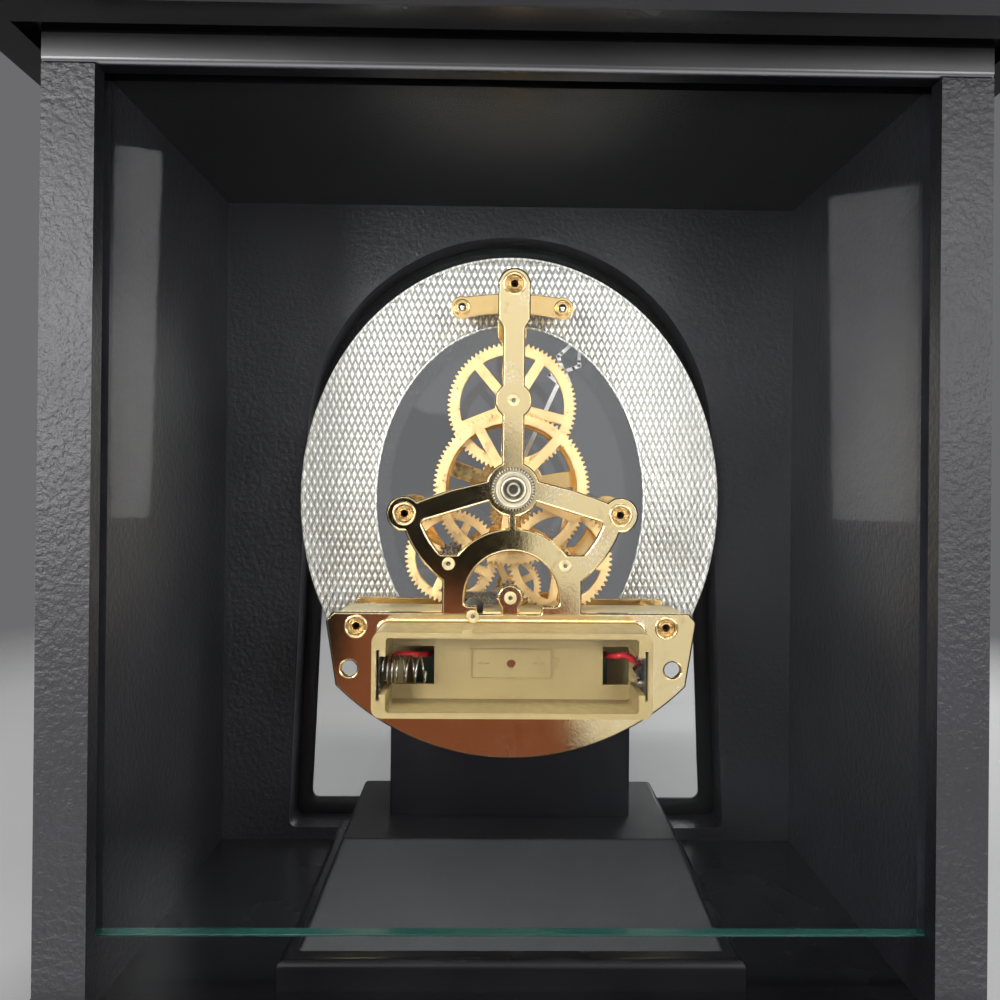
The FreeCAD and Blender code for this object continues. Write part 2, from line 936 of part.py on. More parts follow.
def bevelled(solid, y):
    """Break the outer edges of a plate on one face."""
    rim = []
    for edge in solid.Edges:
        low, high = edge.BoundBox.YMin, edge.BoundBox.YMax
        if abs(low - y) < touching and abs(high - y) < touching:
            rim.append(edge)
    return solid.makeChamfer(edge_bevel, rim)


def box_window(span, y0, y1, grow):
    return slab(
        span[0] - grow, span[1] + grow, box_window_bottom - grow, box_window_top + grow, y0, y1
    )


def back_plate():
    y0, y1 = back_plate_front, back_plate_rear
    plate = join([arm_solid(y0, y1), shoulder_solid(y0, y1), lower_plate(y0, y1)])
    cut0, cut1 = y0 - overrun, y1 + overrun
    for hole in both_sides(quadrant_window(cut0, cut1)):
        plate = plate.cut(hole)
    plate = plate.cut(half_round_window(cut0, cut1))
    for span in (window_left, window_right):
        plate = plate.cut(box_window(span, cut0, cut1, 0))
    for x in (-free_hole_x, free_hole_x):
        plate = plate.cut(rod(x, free_hole_z, free_hole_radius, cut0, cut1))
    plate = bevelled(plate, back_plate_rear)
    for x, z in pillar_places + foot_pillar_places:
        plate = plate.cut(rod(x, z, screw_radius + seat_clearance, cut0, cut1))
        plate = plate.cut(rod(x, z, screw_sink_radius, back_plate_rear - screw_sink_depth, cut1))
    for hole in bush_holes(y0, y1):
        plate = plate.cut(hole)
    return plate.cut(rod(0, 0, shaft_radius + running_clearance, cut0, cut1))


def cross_arms(y0, y1):
    """The gently arched bar that carries the top of the dial."""
    reach = cross_arm_x
    middle = cross_arm_z + cross_arm_rise
    half = cross_arm_half_height
    upper = Part.Arc(
        V(-reach, 0, cross_arm_z + half), V(0, 0, middle + half), V(reach, 0, cross_arm_z + half)
    )
    lower = Part.Arc(
        V(reach, 0, cross_arm_z - half), V(0, 0, middle - half), V(-reach, 0, cross_arm_z - half)
    )
    ends = [
        Part.LineSegment(V(reach, 0, cross_arm_z + half), V(reach, 0, cross_arm_z - half)),
        Part.LineSegment(V(-reach, 0, cross_arm_z - half), V(-reach, 0, cross_arm_z + half)),
    ]
    edges = [upper.toShape(), ends[0].toShape(), lower.toShape(), ends[1].toShape()]
    face = Part.Face(Part.Wire(edges))
    face.translate(V(0, y0, shaft_z))
    pieces = [face.extrude(V(0, y1 - y0, 0))]
    for x in (-cross_arm_x, cross_arm_x):
        pieces.append(rod(x, cross_arm_z, cross_boss_radius, y0, y1))
    return join(pieces)


def front_plate():
    y0, y1 = front_plate_front, front_plate_rear
    cut0, cut1 = y0 - overrun, y1 + overrun
    lower = prism(
        [
            (-front_plate_half_width, front_plate_bottom, plate_corner_round),
            (-front_plate_half_width, plate_top, plate_corner_round),
            (front_plate_half_width, plate_top, plate_corner_round),
            (front_plate_half_width, front_plate_bottom, plate_corner_round),
        ],
        y0,
        y1,
    )
    plate = join([arm_solid(y0, y1), shoulder_solid(y0, y1), lower, cross_arms(y0, y1)])
    for hole in both_sides(quadrant_window(cut0, cut1)):
        plate = plate.cut(hole)
    plate = plate.cut(half_round_window(cut0, cut1))
    ring = rod(0, 0, ring_outer_radius, y0, y1)
    ring = ring.cut(
        crossings(
            0, 0, ring_hub_radius, ring_inner_radius, ring_spoke_width, ring_spoke_angles, cut0, cut1
        )
    )
    upper_half = slab(-ring_outer_radius, ring_outer_radius, side_arm_low_root, ring_outer_radius, y0, y1)
    plate = join([plate, ring.common(upper_half)])
    for x, z in pillar_places + foot_pillar_places:
        plate = plate.cut(rod(x, z, screw_radius + seat_clearance, cut0, cut1))
    for x, z in dial_stud_places:
        plate = plate.cut(rod(x, z, stud_radius + seat_clearance, cut0, cut1))
    for hole in bush_holes(y0, y1):
        plate = plate.cut(hole)
    plate = plate.cut(rod(motion_x, motion_z, pivot_radius + seat_clearance, cut0, cut1))
    return plate.cut(rod(0, 0, shaft_radius + running_clearance, cut0, cut1))


def pillars():
    solids = []
    for x, z in pillar_places:
        solids.append((x, z, front_plate_rear, back_plate_front))
    for x, z in foot_pillar_places:
        solids.append((x, z, front_plate_rear, housing_front))
    made = []
    for x, z, y0, y1 in solids:
        pillar = rod(x, z, pillar_radius, y0, y1)
        made.append(pillar.cut(rod(x, z, pillar_hole_radius, y0 - overrun, y1 + overrun)))
    return Part.Compound(made)


def slotted_screw(x, z, seat, tip, angle):
    """A cheese-head screw whose head stands on the seat and whose shank runs to the tip."""
    head = rod(x, z, screw_head_radius, seat, seat + screw_head_height)
    slot = Part.makeBox(
        2 * screw_head_radius, screw_slot_depth + overrun, screw_slot_width,
        V(-screw_head_radius, seat + screw_head_height - screw_slot_depth, -screw_slot_width / 2),
    )
    slot.rotate(V(0, 0, 0), V(0, 1, 0), angle)
    slot.translate(V(x, 0, shaft_z + z))
    return join([head, rod(x, z, screw_radius, tip, seat)]).cut(slot)


def plate_screws():
    made = []
    turn = rear_screw_turn
    for x, z in pillar_places + foot_pillar_places:
        tip = back_plate_front - pillar_hole_depth
        if (x, z) in foot_pillar_places:
            tip = housing_front - pillar_hole_depth
        made.append(slotted_screw(x, z, back_plate_rear - screw_sink_depth, tip, turn))
        turn += rear_screw_turn_step
    return Part.Compound(made)


def front_screws():
    made = []
    for x, z in pillar_places + foot_pillar_places:
        screw = slotted_screw(x, z, 0, -pillar_hole_depth / 2 - plate_thickness, front_screw_turn)
        screw.rotate(V(x, 0, shaft_z + z), V(0, 0, 1), 180)
        screw.translate(V(0, front_plate_front, 0))
        made.append(screw)
    return Part.Compound(made)


def bushes(y0, y1, proud_y):
    """Flanged bearing bushes pressed into one plate."""
    made = []
    for x, z in arbor_places:
        bush = rod(x, z, bush_radius, y0, y1)
        low, high = sorted((proud_y, proud_y + math.copysign(bush_proud, proud_y - (y0 + y1) / 2)))
        bush = join([bush, rod(x, z, bush_flange_radius, low, high)])
        bore = rod(x, z, pivot_radius + running_clearance, y0 - overrun, y1 + overrun)
        made.append(bush.cut(bore))
    return Part.Compound(made)


# Lower housing and battery box
def gear_housing():
    y0, y1 = housing_front, back_plate_front
    outer = join(
        [
            slab(-housing_half_width, housing_half_width, housing_step_z, plate_top, y0, y1),
            slab(-housing_step_half_width, housing_step_half_width, housing_bottom, housing_step_z, y0, y1),
        ]
    )
    hollow = slab(
        -housing_step_half_width + housing_wall,
        housing_step_half_width - housing_wall,
        housing_bottom + housing_wall,
        housing_step_z,
        y0 + housing_wall,
        y1 + overrun,
    )
    notch = slab(
        rotor_x - housing_notch_half_width,
        rotor_x + housing_notch_half_width,
        plate_top - housing_notch_depth,
        plate_top + overrun,
        y0 - overrun,
        y1 + overrun,
    )
    solid = outer.cut(hollow).cut(notch)
    for x, z in foot_pillar_places:
        solid = solid.cut(rod(x, z, screw_radius + seat_clearance, y0 - overrun, y1 + overrun))
    for x, z in ((x, z) for x, z in arbor_places if z - bush_flange_radius < plate_top):
        solid = solid.cut(rod(x, z, bush_flange_radius + seat_clearance, y0 - overrun, y1 + overrun))
    return solid


box_mid_z = (box_top + box_bottom) / 2
box_rim = back_plate_rear + box_height
box_floor_rear = back_plate_rear + box_floor
bay_half_width = box_half_width - box_wall
slot_x = bay_half_width + slot_offset


def battery_box():
    y0, y1 = back_plate_rear, box_rim
    outer = prism(
        [
            (-box_half_width, box_bottom, box_round),
            (-box_half_width, box_top, box_round),
            (box_half_width, box_top, box_round),
            (box_half_width, box_bottom, box_round),
        ],
        y0,
        y1,
    )
    bay = prism(
        [
            (-bay_half_width, box_bottom + box_low_wall, box_inner_round),
            (-bay_half_width, box_top - box_low_wall, box_inner_round),
            (bay_half_width, box_top - box_low_wall, box_inner_round),
            (bay_half_width, box_bottom + box_low_wall, box_inner_round),
        ],
        box_floor_rear,
        y1 + overrun,
    )
    solid = outer.cut(bay)
    for span in (window_left, window_right):
        solid = solid.cut(box_window(span, y0 - overrun, box_floor_rear + overrun, 0))
    for side in (-1, 1):
        low, high = sorted((side * slot_x, side * (slot_x + slot_width)))
        solid = solid.cut(
            slab(low, high, box_mid_z - slot_half_height, box_mid_z + slot_half_height,
                 box_floor_rear, y1 + overrun)
        )
        low, high = sorted((side * (bay_half_width - overrun), side * (slot_x + seat_clearance)))
        throat = slot_half_height - slot_offset
        solid = solid.cut(
            slab(low, high, box_mid_z - throat, box_mid_z + throat, box_floor_rear, y1 + overrun)
        )
    solid = solid.cut(rod(0, box_mid_z, box_hole_radius, y0 - overrun, box_floor_rear + overrun))
    lug = slab(box_lug_x, box_lug_x + box_lug_width, box_top - corner_round, box_top + box_lug_height,
               y1 - box_lug_width, y1)
    solid = join([solid, lug])
    return join([solid] + battery_symbol())


def frame_bars(x0, x1, z0, z1, line, y0, y1):
    return [
        slab(x0, x1, z0, z0 + line, y0, y1),
        slab(x0, x1, z1 - line, z1, y0, y1),
        slab(x0, x0 + line, z0, z1, y0, y1),
        slab(x1 - line, x1, z0, z1, y0, y1),
    ]


def battery_symbol():
    """The raised outline of a cell with its plus and minus on the floor of the box."""
    y0, y1 = box_floor_rear - symbol_relief, box_floor_rear + symbol_relief
    bars = frame_bars(
        -symbol_half_width, symbol_half_width, box_mid_z - symbol_half_height,
        box_mid_z + symbol_half_height, symbol_line, y0, y1,
    )
    bars += frame_bars(
        -symbol_half_width - symbol_nub_width, -symbol_half_width + symbol_line,
        box_mid_z - symbol_nub_half_height, box_mid_z + symbol_nub_half_height, symbol_line, y0, y1,
    )
    arm = symbol_nub_half_height
    place = symbol_half_width - 2 * symbol_nub_width
    half = symbol_line / 2
    bars.append(slab(-place - arm, -place + arm, box_mid_z - half, box_mid_z + half, y0, y1))
    bars.append(slab(-place - half, -place + half, box_mid_z - arm, box_mid_z + arm, y0, y1))
    bars.append(slab(place - arm, place + arm, box_mid_z - half, box_mid_z + half, y0, y1))
    return bars


def contact_plate(side, half_height):
    near_x = side * (slot_x + seat_clearance)
    low, high = sorted((near_x, near_x + side * contact_thickness))
    return slab(low, high, box_mid_z - half_height, box_mid_z + half_height,
                box_floor_rear + seat_clearance, box_floor_rear + contact_lift + contact_height)


spring_axis_y = box_floor_rear + contact_height / 2 + contact_lift / 2


def spring_contact_plate():
    return contact_plate(1, contact_half_height)


def spring_route():
    """Quarter-turn points of a spring that starts on its plate and narrows towards its tip."""
    quarters = 4 * (spring_tight_turns + spring_loose_turns)
    points = []
    x = slot_x + seat_clearance - spring_wire_radius
    for i in range(quarters + 1):
        share = i / quarters
        radius = spring_radius + (spring_tip_radius - spring_radius) * share
        angle = math.pi / 2 * i
        points.append(
            V(x, spring_axis_y + radius * math.cos(angle), shaft_z + box_mid_z + radius * math.sin(angle))
        )
        pitch = spring_tight_pitch if i < 4 * spring_tight_turns else spring_loose_pitch
        x -= pitch / 4
    return points


def contact_spring():
    points = spring_route()
    curve = Part.BSplineCurve()
    curve.interpolate(points)
    arcs = curve.toBiArcs(spring_wire_radius / 10)
    wire = Part.Wire([a.toShape() for a in arcs])
    first = arcs[0]
    tangent = first.tangent(first.FirstParameter)[0]
    circle = Part.Circle(points[0], tangent, spring_wire_radius).toShape()
    shell = Part.BRepOffsetAPI.MakePipeShell(wire)
    shell.add(Part.Wire([circle]))
    shell.build()
    shell.makeSolid()
    gap = spring_tight_pitch - 2 * spring_wire_radius
    print("least gap between spring turns", round(gap, 2))
    return shell.shape()


def flat_contact():
    """The contact at the other end, with its pointed tongue towards the cell."""
    plate = contact_plate(-1, contact_half_height)
    face_x = -(slot_x + seat_clearance)
    y0 = spring_axis_y - tip_half_height
    y1 = spring_axis_y + tip_half_height
    centre = shaft_z + box_mid_z
    points = [
        V(face_x, y0, centre - tip_half_height),
        V(face_x + tip_length, y0, centre),
        V(face_x, y0, centre + tip_half_height),
    ]
    wedge = Part.Face(Part.makePolygon(points + points[:1])).extrude(V(0, y1 - y0, 0))
    return join([plate, wedge])


def contact_rivets():
    made = []
    x = -(slot_x + seat_clearance)
    for side in (-1, 1):
        z = shaft_z + box_mid_z + side * (tip_half_height + rivet_spread / 2)
        made.append(Part.makeCylinder(rivet_radius, rivet_height, V(x, spring_axis_y, z), V(1, 0, 0)))
    return Part.Compound(made)


def tube(points, radius):
    """Straight runs joined by tangent arcs, swept with a round section."""
    edges = []
    last = points[0]
    for i in range(1, len(points) - 1):
        back = points[i - 1] - points[i]
        ahead = points[i + 1] - points[i]
        half = back.getAngle(ahead) / 2
        run = wire_bend_share * min(back.Length, ahead.Length)
        bend = run * math.tan(half)
        back.normalize()
        ahead.normalize()
        bisector = (back + ahead).normalize()
        start = points[i] + back * run
        end = points[i] + ahead * run
        middle = points[i] + bisector * (bend / math.sin(half) - bend)
        edges.append(Part.LineSegment(last, start).toShape())
        edges.append(Part.Arc(start, middle, end).toShape())
        print("wire bend radius", round(bend, 1))
        last = end
    edges.append(Part.LineSegment(last, points[-1]).toShape())
    wire = Part.Wire(edges)
    circle = Part.Circle(points[0], points[1] - points[0], radius).toShape()
    pipe = Part.Wire(edges).makePipeShell([Part.Wire([circle])], True, False)
    length = wire.Length
    print("wire volume ratio", round(pipe.Volume / (length * math.pi * radius**2), 3))
    return pipe


def battery_wires():
    """Two leads that rise from the board, show in the floor windows and end at the contacts."""
    board_rear = housing_front + housing_wall + board_gap + board_thickness
    made = []
    for side, span in ((1, window_left), (-1, window_right)):
        inner = min(abs(span[0]), abs(span[1]))
        outer = slot_x - wire_radius - seat_clearance
        reach = outer - inner
        top = box_window_top - 2 * wire_radius
        low = box_mid_z + wire_radius
        y_low = board_rear + wire_board_gap
        y_high = box_floor_rear + 2 * wire_radius
        points = []
        for along, back, up in wire_route_shares:
            x = side * (inner + reach * along)
            points.append(V(x, y_low + (y_high - y_low) * back, shaft_z + low + (top - low) * up))
        made.append(tube(points, wire_radius))
    return Part.Compound(made)


def circuit_board():
    y0 = housing_front + housing_wall + board_gap
    top = housing_step_z - board_edge_gap
    board_low = top - 2 * board_half_height
    board_solid = slab(-board_half_width, board_half_width, board_low, top, y0, y0 + board_thickness)
    posts = []
    for x in (-board_half_width + board_gap, board_half_width - board_gap):
        posts.append(rod(x, (top + board_low) / 2, board_thickness, housing_front + housing_wall, y0))
    chip = slab(-chip_width / 2, chip_width / 2, box_mid_z - chip_width / 2, box_mid_z + chip_width / 2,
                y0 + board_thickness, y0 + board_thickness + chip_height)
    return join([board_solid, chip] + posts)


def quartz_crystal():
    y = housing_front + housing_wall + board_gap + board_thickness + crystal_radius
    x = -chip_width / 2 - crystal_length - board_gap
    return Part.makeCylinder(crystal_radius, crystal_length, V(x, y, shaft_z + box_mid_z), V(1, 0, 0))


coil_z = rotor_z - stator_width
coil_x = rotor_x - coil_length / 2


def stator():
    """The flat steel yoke on the front of the housing, open round the rotor."""
    y0, y1 = housing_front - stator_thickness, housing_front
    hole = rotor_radius + stator_hole_clearance
    left = min(rotor_x - stator_width / 2, coil_x)
    right = max(rotor_x + stator_width / 2, coil_x + coil_length)
    yoke = slab(left, right, coil_z - coil_core_radius, rotor_z + hole + coil_flange, y0, y1)
    yoke = yoke.cut(rod(rotor_x, rotor_z, hole, y0 - overrun, y1 + overrun))
    pocket = slab(
        coil_x + coil_flange, coil_x + coil_length - coil_flange,
        coil_z - stator_width, coil_z + coil_radius + seat_clearance, y0 - overrun, y1 + overrun,
    )
    return yoke.cut(pocket)


def drive_coil():
    """Winding with flanges, standing on the front of the housing in the gap of the yoke."""
    y = housing_front - coil_radius
    z = shaft_z + coil_z
    length = coil_length - 2 * coil_flange - 2 * seat_clearance
    start = V(coil_x + coil_flange + seat_clearance, y, z)
    return Part.makeCylinder(coil_radius, length, start, V(1, 0, 0))


# Arbors and wheels
def arbor(x, z, extra=()):
    """A turned arbor between the plates with a pivot in each bush."""
    shoulder_front = front_plate_rear + pivot_shoulder_gap
    body = rod(x, z, arbor_radius, shoulder_front, back_plate_front - pivot_shoulder_gap)
    pivot = rod(x, z, pivot_radius, front_plate_front, back_plate_rear)
    return join([body, pivot] + list(extra))


def wheel_plane(front):
    return front, front + wheel_thickness


def upper_wheel():
    y0, y1 = wheel_plane(upper_wheel_front)
    return spoked_wheel(upper_x, upper_z, upper_teeth, train_tooth_size, upper_phase, y0, y1, arbor_radius,
                        upper_spoke_angle, upper_hub_radius, rim_width, spoke_width, spokes)


def centre_wheel():
    y0, y1 = wheel_plane(centre_wheel_front)
    return spoked_wheel(0, 0, centre_teeth, train_tooth_size, centre_phase, y0, y1, shaft_radius,
                        centre_spoke_angle, centre_hub_radius, rim_width, spoke_width, spokes)


def centre_pinion():
    y0, y1 = wheel_plane(upper_wheel_front)
    return gear(0, 0, centre_pinion_teeth, train_tooth_size, centre_pinion_phase,
                y0 - pinion_extra, y1 + pinion_extra, shaft_radius)


def right_arbor():
    y0, y1 = wheel_plane(centre_wheel_front)
    pinion = gear(right_x, right_z, right_pinion_teeth, train_tooth_size, right_phase,
                  y0 - pinion_extra, y1 + pinion_extra)
    return arbor(right_x, right_z, [pinion])


def right_wheel():
    y0, y1 = wheel_plane(upper_wheel_front)
    return spoked_wheel(right_x, right_z, right_teeth, small_tooth_size, right_wheel_phase, y0, y1,
                        arbor_radius, right_spoke_angle, small_hub_radius, small_rim_width,
                        small_spoke_width, small_spokes)


def left_arbor():
    y0, y1 = wheel_plane(centre_wheel_front)
    pinion = gear(left_x, left_z, left_pinion_teeth, train_tooth_size, left_phase,
                  y0 - pinion_extra, y1 + pinion_extra)
    return arbor(left_x, left_z, [pinion])


def left_wheel():
    y0, y1 = wheel_plane(upper_wheel_front)
    return spoked_wheel(left_x, left_z, left_teeth, train_tooth_size, left_wheel_phase, y0, y1,
                        arbor_radius, left_spoke_angle, small_hub_radius, small_rim_width,
                        small_spoke_width, small_spokes)


def small_arbor():
    y0, y1 = wheel_plane(upper_wheel_front)
    pinion = gear(small_x, small_z, small_pinion_teeth, small_tooth_size, small_phase,
                  y0 - pinion_extra, y1 + pinion_extra)
    return arbor(small_x, small_z, [pinion])


def fourth_wheel():
    y0, y1 = wheel_plane(fourth_wheel_front)
    return spoked_wheel(small_x, small_z, fourth_teeth, fourth_tooth_size, fourth_phase, y0, y1,
                        arbor_radius, fourth_spoke_angle, fourth_hub_radius, fourth_rim_width,
                        fourth_spoke_width, small_spokes)


def rotor_arbor():
    y0, y1 = wheel_plane(fourth_wheel_front)
    pinion = gear(rotor_x, rotor_z, rotor_pinion_teeth, fourth_tooth_size, rotor_phase,
                  y0 - pinion_extra, y1 + pinion_extra)
    return arbor(rotor_x, rotor_z, [pinion])


def rotor_magnet():
    y1 = housing_front - seat_clearance
    magnet = rod(rotor_x, rotor_z, rotor_radius, y1 - rotor_length, y1)
    return magnet.cut(rod(rotor_x, rotor_z, arbor_radius, y1 - rotor_length - overrun, y1 + overrun))


# Motion work and hands
hour_hand_rear = dial_front - hour_hand_gap
hour_hand_front = hour_hand_rear - hand_thickness
minute_hand_rear = hour_hand_front - hand_spacing
minute_hand_front = minute_hand_rear - hand_thickness
shaft_front = minute_hand_front - hand_nut_height
knob_front = back_plate_rear + knob_gap
knob_rear = knob_front + knob_knurl_height + knob_face_height
pipe_bore = shaft_radius + pipe_clearance
pipe_radius = pipe_bore + pipe_wall


def centre_shaft():
    return rod(0, 0, shaft_radius, shaft_front, knob_rear - knob_hole_depth)


def cannon_pinion():
    y0 = cannon_front
    return gear(0, 0, cannon_teeth, motion_tooth_size, cannon_phase, y0, y0 + wheel_thickness, shaft_radius)


def motion_stud():
    front = hour_wheel_front - pinion_extra - screw_slot_depth
    stud = rod(motion_x, motion_z, pivot_radius, front - pinion_extra, front_plate_rear)
    head = rod(motion_x, motion_z, 2 * pivot_radius, front - 2 * pinion_extra, front - pinion_extra)
    return join([stud, head])


def motion_wheel():
    """The minute wheel and its pinion, loose on the stud."""
    y0 = cannon_front + pinion_extra / 2
    wheel = gear(motion_x, motion_z, motion_teeth, motion_tooth_size, motion_phase,
                 y0, cannon_front + wheel_thickness - pinion_extra / 2)
    pinion = gear(motion_x, motion_z, motion_pinion_teeth, hour_tooth_size, motion_pinion_phase,
                  hour_wheel_front - pinion_extra, y0)
    bore = rod(motion_x, motion_z, pivot_radius + running_clearance,
               hour_wheel_front - overrun, cannon_front + wheel_thickness)
    return join([wheel, pinion]).cut(bore)


def hour_wheel():
    y0, y1 = hour_wheel_front, hour_wheel_front + wheel_thickness - pinion_extra
    wheel = gear(0, 0, hour_teeth, hour_tooth_size, hour_phase, y0, y1)
    pipe = rod(0, 0, pipe_radius, hour_hand_front - pinion_extra, y1)
    bore = rod(0, 0, pipe_bore, hour_hand_front - overrun, y1 + overrun)
    return join([wheel, pipe]).cut(bore)


def hand(length, bore, hub, loop_width, y0, y1):
    """An open lozenge hand that points up, before it is turned to its time."""
    stem_end = length * hand_loop_start_share
    loop_end = length * hand_loop_end_share
    widest = stem_end + (loop_end - stem_end) * hand_waist_share
    half = hand_stem_width / 2
    waist = loop_width / 2
    outer = prism(
        [
            (-half, 0),
            (-half, stem_end),
            (-waist, widest, hand_waist_round),
            (-half, loop_end),
            (0, length),
            (half, loop_end),
            (waist, widest, hand_waist_round),
            (half, stem_end),
            (half, 0),
        ],
        y0,
        y1,
    )
    inner = prism(
        [
            (0, stem_end + hand_line * hand_foot_share),
            (-waist + hand_line, widest, hand_inner_round),
            (0, loop_end - hand_line * hand_tip_share),
            (waist - hand_line, widest, hand_inner_round),
        ],
        y0 - overrun,
        y1 + overrun,
    )
    bar_z = stem_end * hand_bar_share
    bar = slab(-waist, waist, bar_z, bar_z + hand_line, y0, y1)
    shape = join([outer.cut(inner), rod(0, 0, hub, y0, y1), bar])
    return shape.cut(rod(0, 0, bore, y0 - overrun, y1 + overrun))


def hour_hand():
    shape = hand(hour_hand_length, pipe_radius + seat_clearance, hand_hub_radius,
                 hand_loop_width * hour_hand_width_share, hour_hand_front, hour_hand_rear)
    shape.rotate(V(0, 0, shaft_z), V(0, 1, 0), -minute_hand_angle / 12)
    return shape


def minute_hand():
    shape = hand(minute_hand_length, shaft_radius + seat_clearance, hand_hub_radius * minute_hub_share,
                 hand_loop_width, minute_hand_front, minute_hand_rear)
    shape.rotate(V(0, 0, shaft_z), V(0, 1, 0), -minute_hand_angle)
    return shape


def hand_nut():
    nut = rod(0, 0, hand_nut_radius, shaft_front, minute_hand_front)
    bore_radius = shaft_radius + seat_clearance
    return nut.cut(rod(0, 0, bore_radius, shaft_front - overrun, minute_hand_front + overrun))


def knurled_disc(y0, y1):
    points = []
    for i in range(2 * knob_knurls):
        radius = knob_radius - (knurl_depth if i % 2 else 0)
        angle = math.pi * i / knob_knurls
        points.append(V(radius * math.cos(angle), y0, shaft_z + radius * math.sin(angle)))
    return Part.Face(Part.makePolygon(points + points[:1])).extrude(V(0, y1 - y0, 0))


def setting_knob():
    top = knob_front + knob_knurl_height
    knurl = knurled_disc(knob_front, top)
    face = rod(0, 0, knob_face_radius, top, knob_rear)
    rim = [e for e in face.Edges if abs(e.BoundBox.YMin - knob_rear) < touching]
    face = face.makeFillet(knurl_depth, rim)
    knob = join([knurl, face])
    groove_outer_radius = knob_groove_radius + knob_groove_width
    groove = rod(0, 0, groove_outer_radius, knob_rear - knob_groove_depth, knob_rear + overrun)
    groove = groove.cut(rod(0, 0, knob_groove_radius, knob_rear - knob_groove_depth, knob_rear + overrun))
    knob = knob.cut(groove)
    knob = knob.cut(rod(0, 0, knob_hole_radius, knob_rear - knob_hole_depth, knob_rear + overrun))
    return knob.cut(rod(0, 0, shaft_radius + seat_clearance, knob_front - overrun, knob_rear))


# Dial
dial_z = shaft_z - dial_centre_drop


def ellipse_prism(half_x, half_z, y0, y1):
    curve = Part.Ellipse(V(0, 0, 0), max(half_x, half_z), min(half_x, half_z))
    face = Part.Face(Part.Wire([curve.toShape()]))
    if half_z > half_x:
        face.rotate(V(0, 0, 0), V(0, 0, 1), 90)
    face.rotate(V(0, 0, 0), V(1, 0, 0), 90)
    face.translate(V(0, y0, dial_z))
    return face.extrude(V(0, y1 - y0, 0))


def ellipse_ring(outer, inner, y0, y1):
    ring = ellipse_prism(outer[0], outer[1], y0, y1)
    return ring.cut(ellipse_prism(inner[0], inner[1], y0 - overrun, y1 + overrun))


def dial_ring():
    outer = (dial_half_width, dial_half_height)
    inner = (dial_inner_half_width, dial_inner_half_height)
    ring = ellipse_ring(outer, inner, dial_front, dial_rear)
    lip = ellipse_ring(
        outer,
        (dial_half_width - dial_rim_width, dial_half_height - dial_rim_width),
        dial_rear,
        dial_rear + dial_rim_proud,
    )
    return join([ring, lip])


def hour_markers():
    """Twelve plain batons on the front of the dial, each aimed at the centre."""
    made = []
    outer, inner = marker_place_share, 1 - marker_place_share
    for i in range(marker_count):
        angle = 2 * math.pi * i / marker_count
        x = math.sin(angle) * (dial_half_width * outer + dial_inner_half_width * inner)
        z = math.cos(angle) * (dial_half_height * outer + dial_inner_half_height * inner)
        baton = Part.makeBox(
            marker_width, marker_height, marker_length,
            V(-marker_width / 2, dial_front - marker_height, -marker_length / 2),
        )
        baton.rotate(V(0, 0, 0), V(0, 1, 0), math.degrees(math.atan2(x, z)))
        baton.translate(V(x, 0, dial_z + z))
        made.append(baton)
    return Part.Compound(made)


def dial_studs():
    made = []
    for x, z in dial_stud_places:
        shank = rod(x, z, stud_radius, dial_rear, front_plate_rear)
        ball = Part.makeSphere(stud_head_radius, V(x, front_plate_rear, shaft_z + z))
        half = slab(x - 2 * stud_head_radius, x + 2 * stud_head_radius, z - 2 * stud_head_radius,
                    z + 2 * stud_head_radius, front_plate_rear, front_plate_rear + 2 * stud_head_radius)
        made.append(join([shank, ball.common(half)]))
    return Part.Compound(made)


makers = {
    "feet": feet,
    "base_moulding": base_moulding,
    "floor_board": floor_board,
    "side_left": lambda: mirrored(side_board()),
    "side_right": side_board,
    "front_panel": front_panel,
    "front_glass": front_glass,
    "glass_sealant": glass_sealant,
    "ceiling_board": ceiling_board,
    "cornice": cornice,
    "top_cap": top_cap,
    "rear_glass": rear_glass,
    "pedestal_plinth": pedestal_plinth,
    "pedestal_pyramid": pedestal_pyramid,
    "pedestal_block": pedestal_block,
    "pedestal_screws": pedestal_screws,
    "back_plate": back_plate,
    "front_plate": front_plate,
    "plate_pillars": pillars,
    "plate_screws": plate_screws,
    "front_screws": front_screws,
    "rear_bushes": lambda: bushes(back_plate_front, back_plate_rear, back_plate_rear),
    "front_bushes": lambda: bushes(front_plate_front, front_plate_rear, front_plate_front),
    "gear_housing": gear_housing,
    "battery_box": battery_box,
    "spring_contact_plate": spring_contact_plate,
    "contact_spring": contact_spring,
    "flat_contact": flat_contact,
    "contact_rivets": contact_rivets,
    "battery_wires": battery_wires,
    "circuit_board": circuit_board,
    "quartz_crystal": quartz_crystal,
    "stator": stator,
    "drive_coil": drive_coil,
    "rotor_arbor": rotor_arbor,
    "rotor_magnet": rotor_magnet,
    "upper_arbor": lambda: arbor(upper_x, upper_z),
    "upper_wheel": upper_wheel,
    "centre_shaft": centre_shaft,
    "centre_wheel": centre_wheel,
    "centre_pinion": centre_pinion,
    "right_arbor": right_arbor,
    "right_wheel": right_wheel,
    "left_arbor": left_arbor,
    "left_wheel": left_wheel,
    "small_arbor": small_arbor,
    "fourth_wheel": fourth_wheel,
    "cannon_pinion": cannon_pinion,
    "motion_stud": motion_stud,
    "motion_wheel": motion_wheel,
    "hour_wheel": hour_wheel,
    "hour_hand": hour_hand,
    "minute_hand": minute_hand,
    "hand_nut": hand_nut,
    "setting_knob": setting_knob,
    "dial_ring": dial_ring,
    "hour_markers": hour_markers,
    "dial_studs": dial_studs,
}

for name, make in makers.items():
    save(name, make())
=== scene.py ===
import math

import bmesh
import bpy
from mathutils import Matrix, Vector, noise


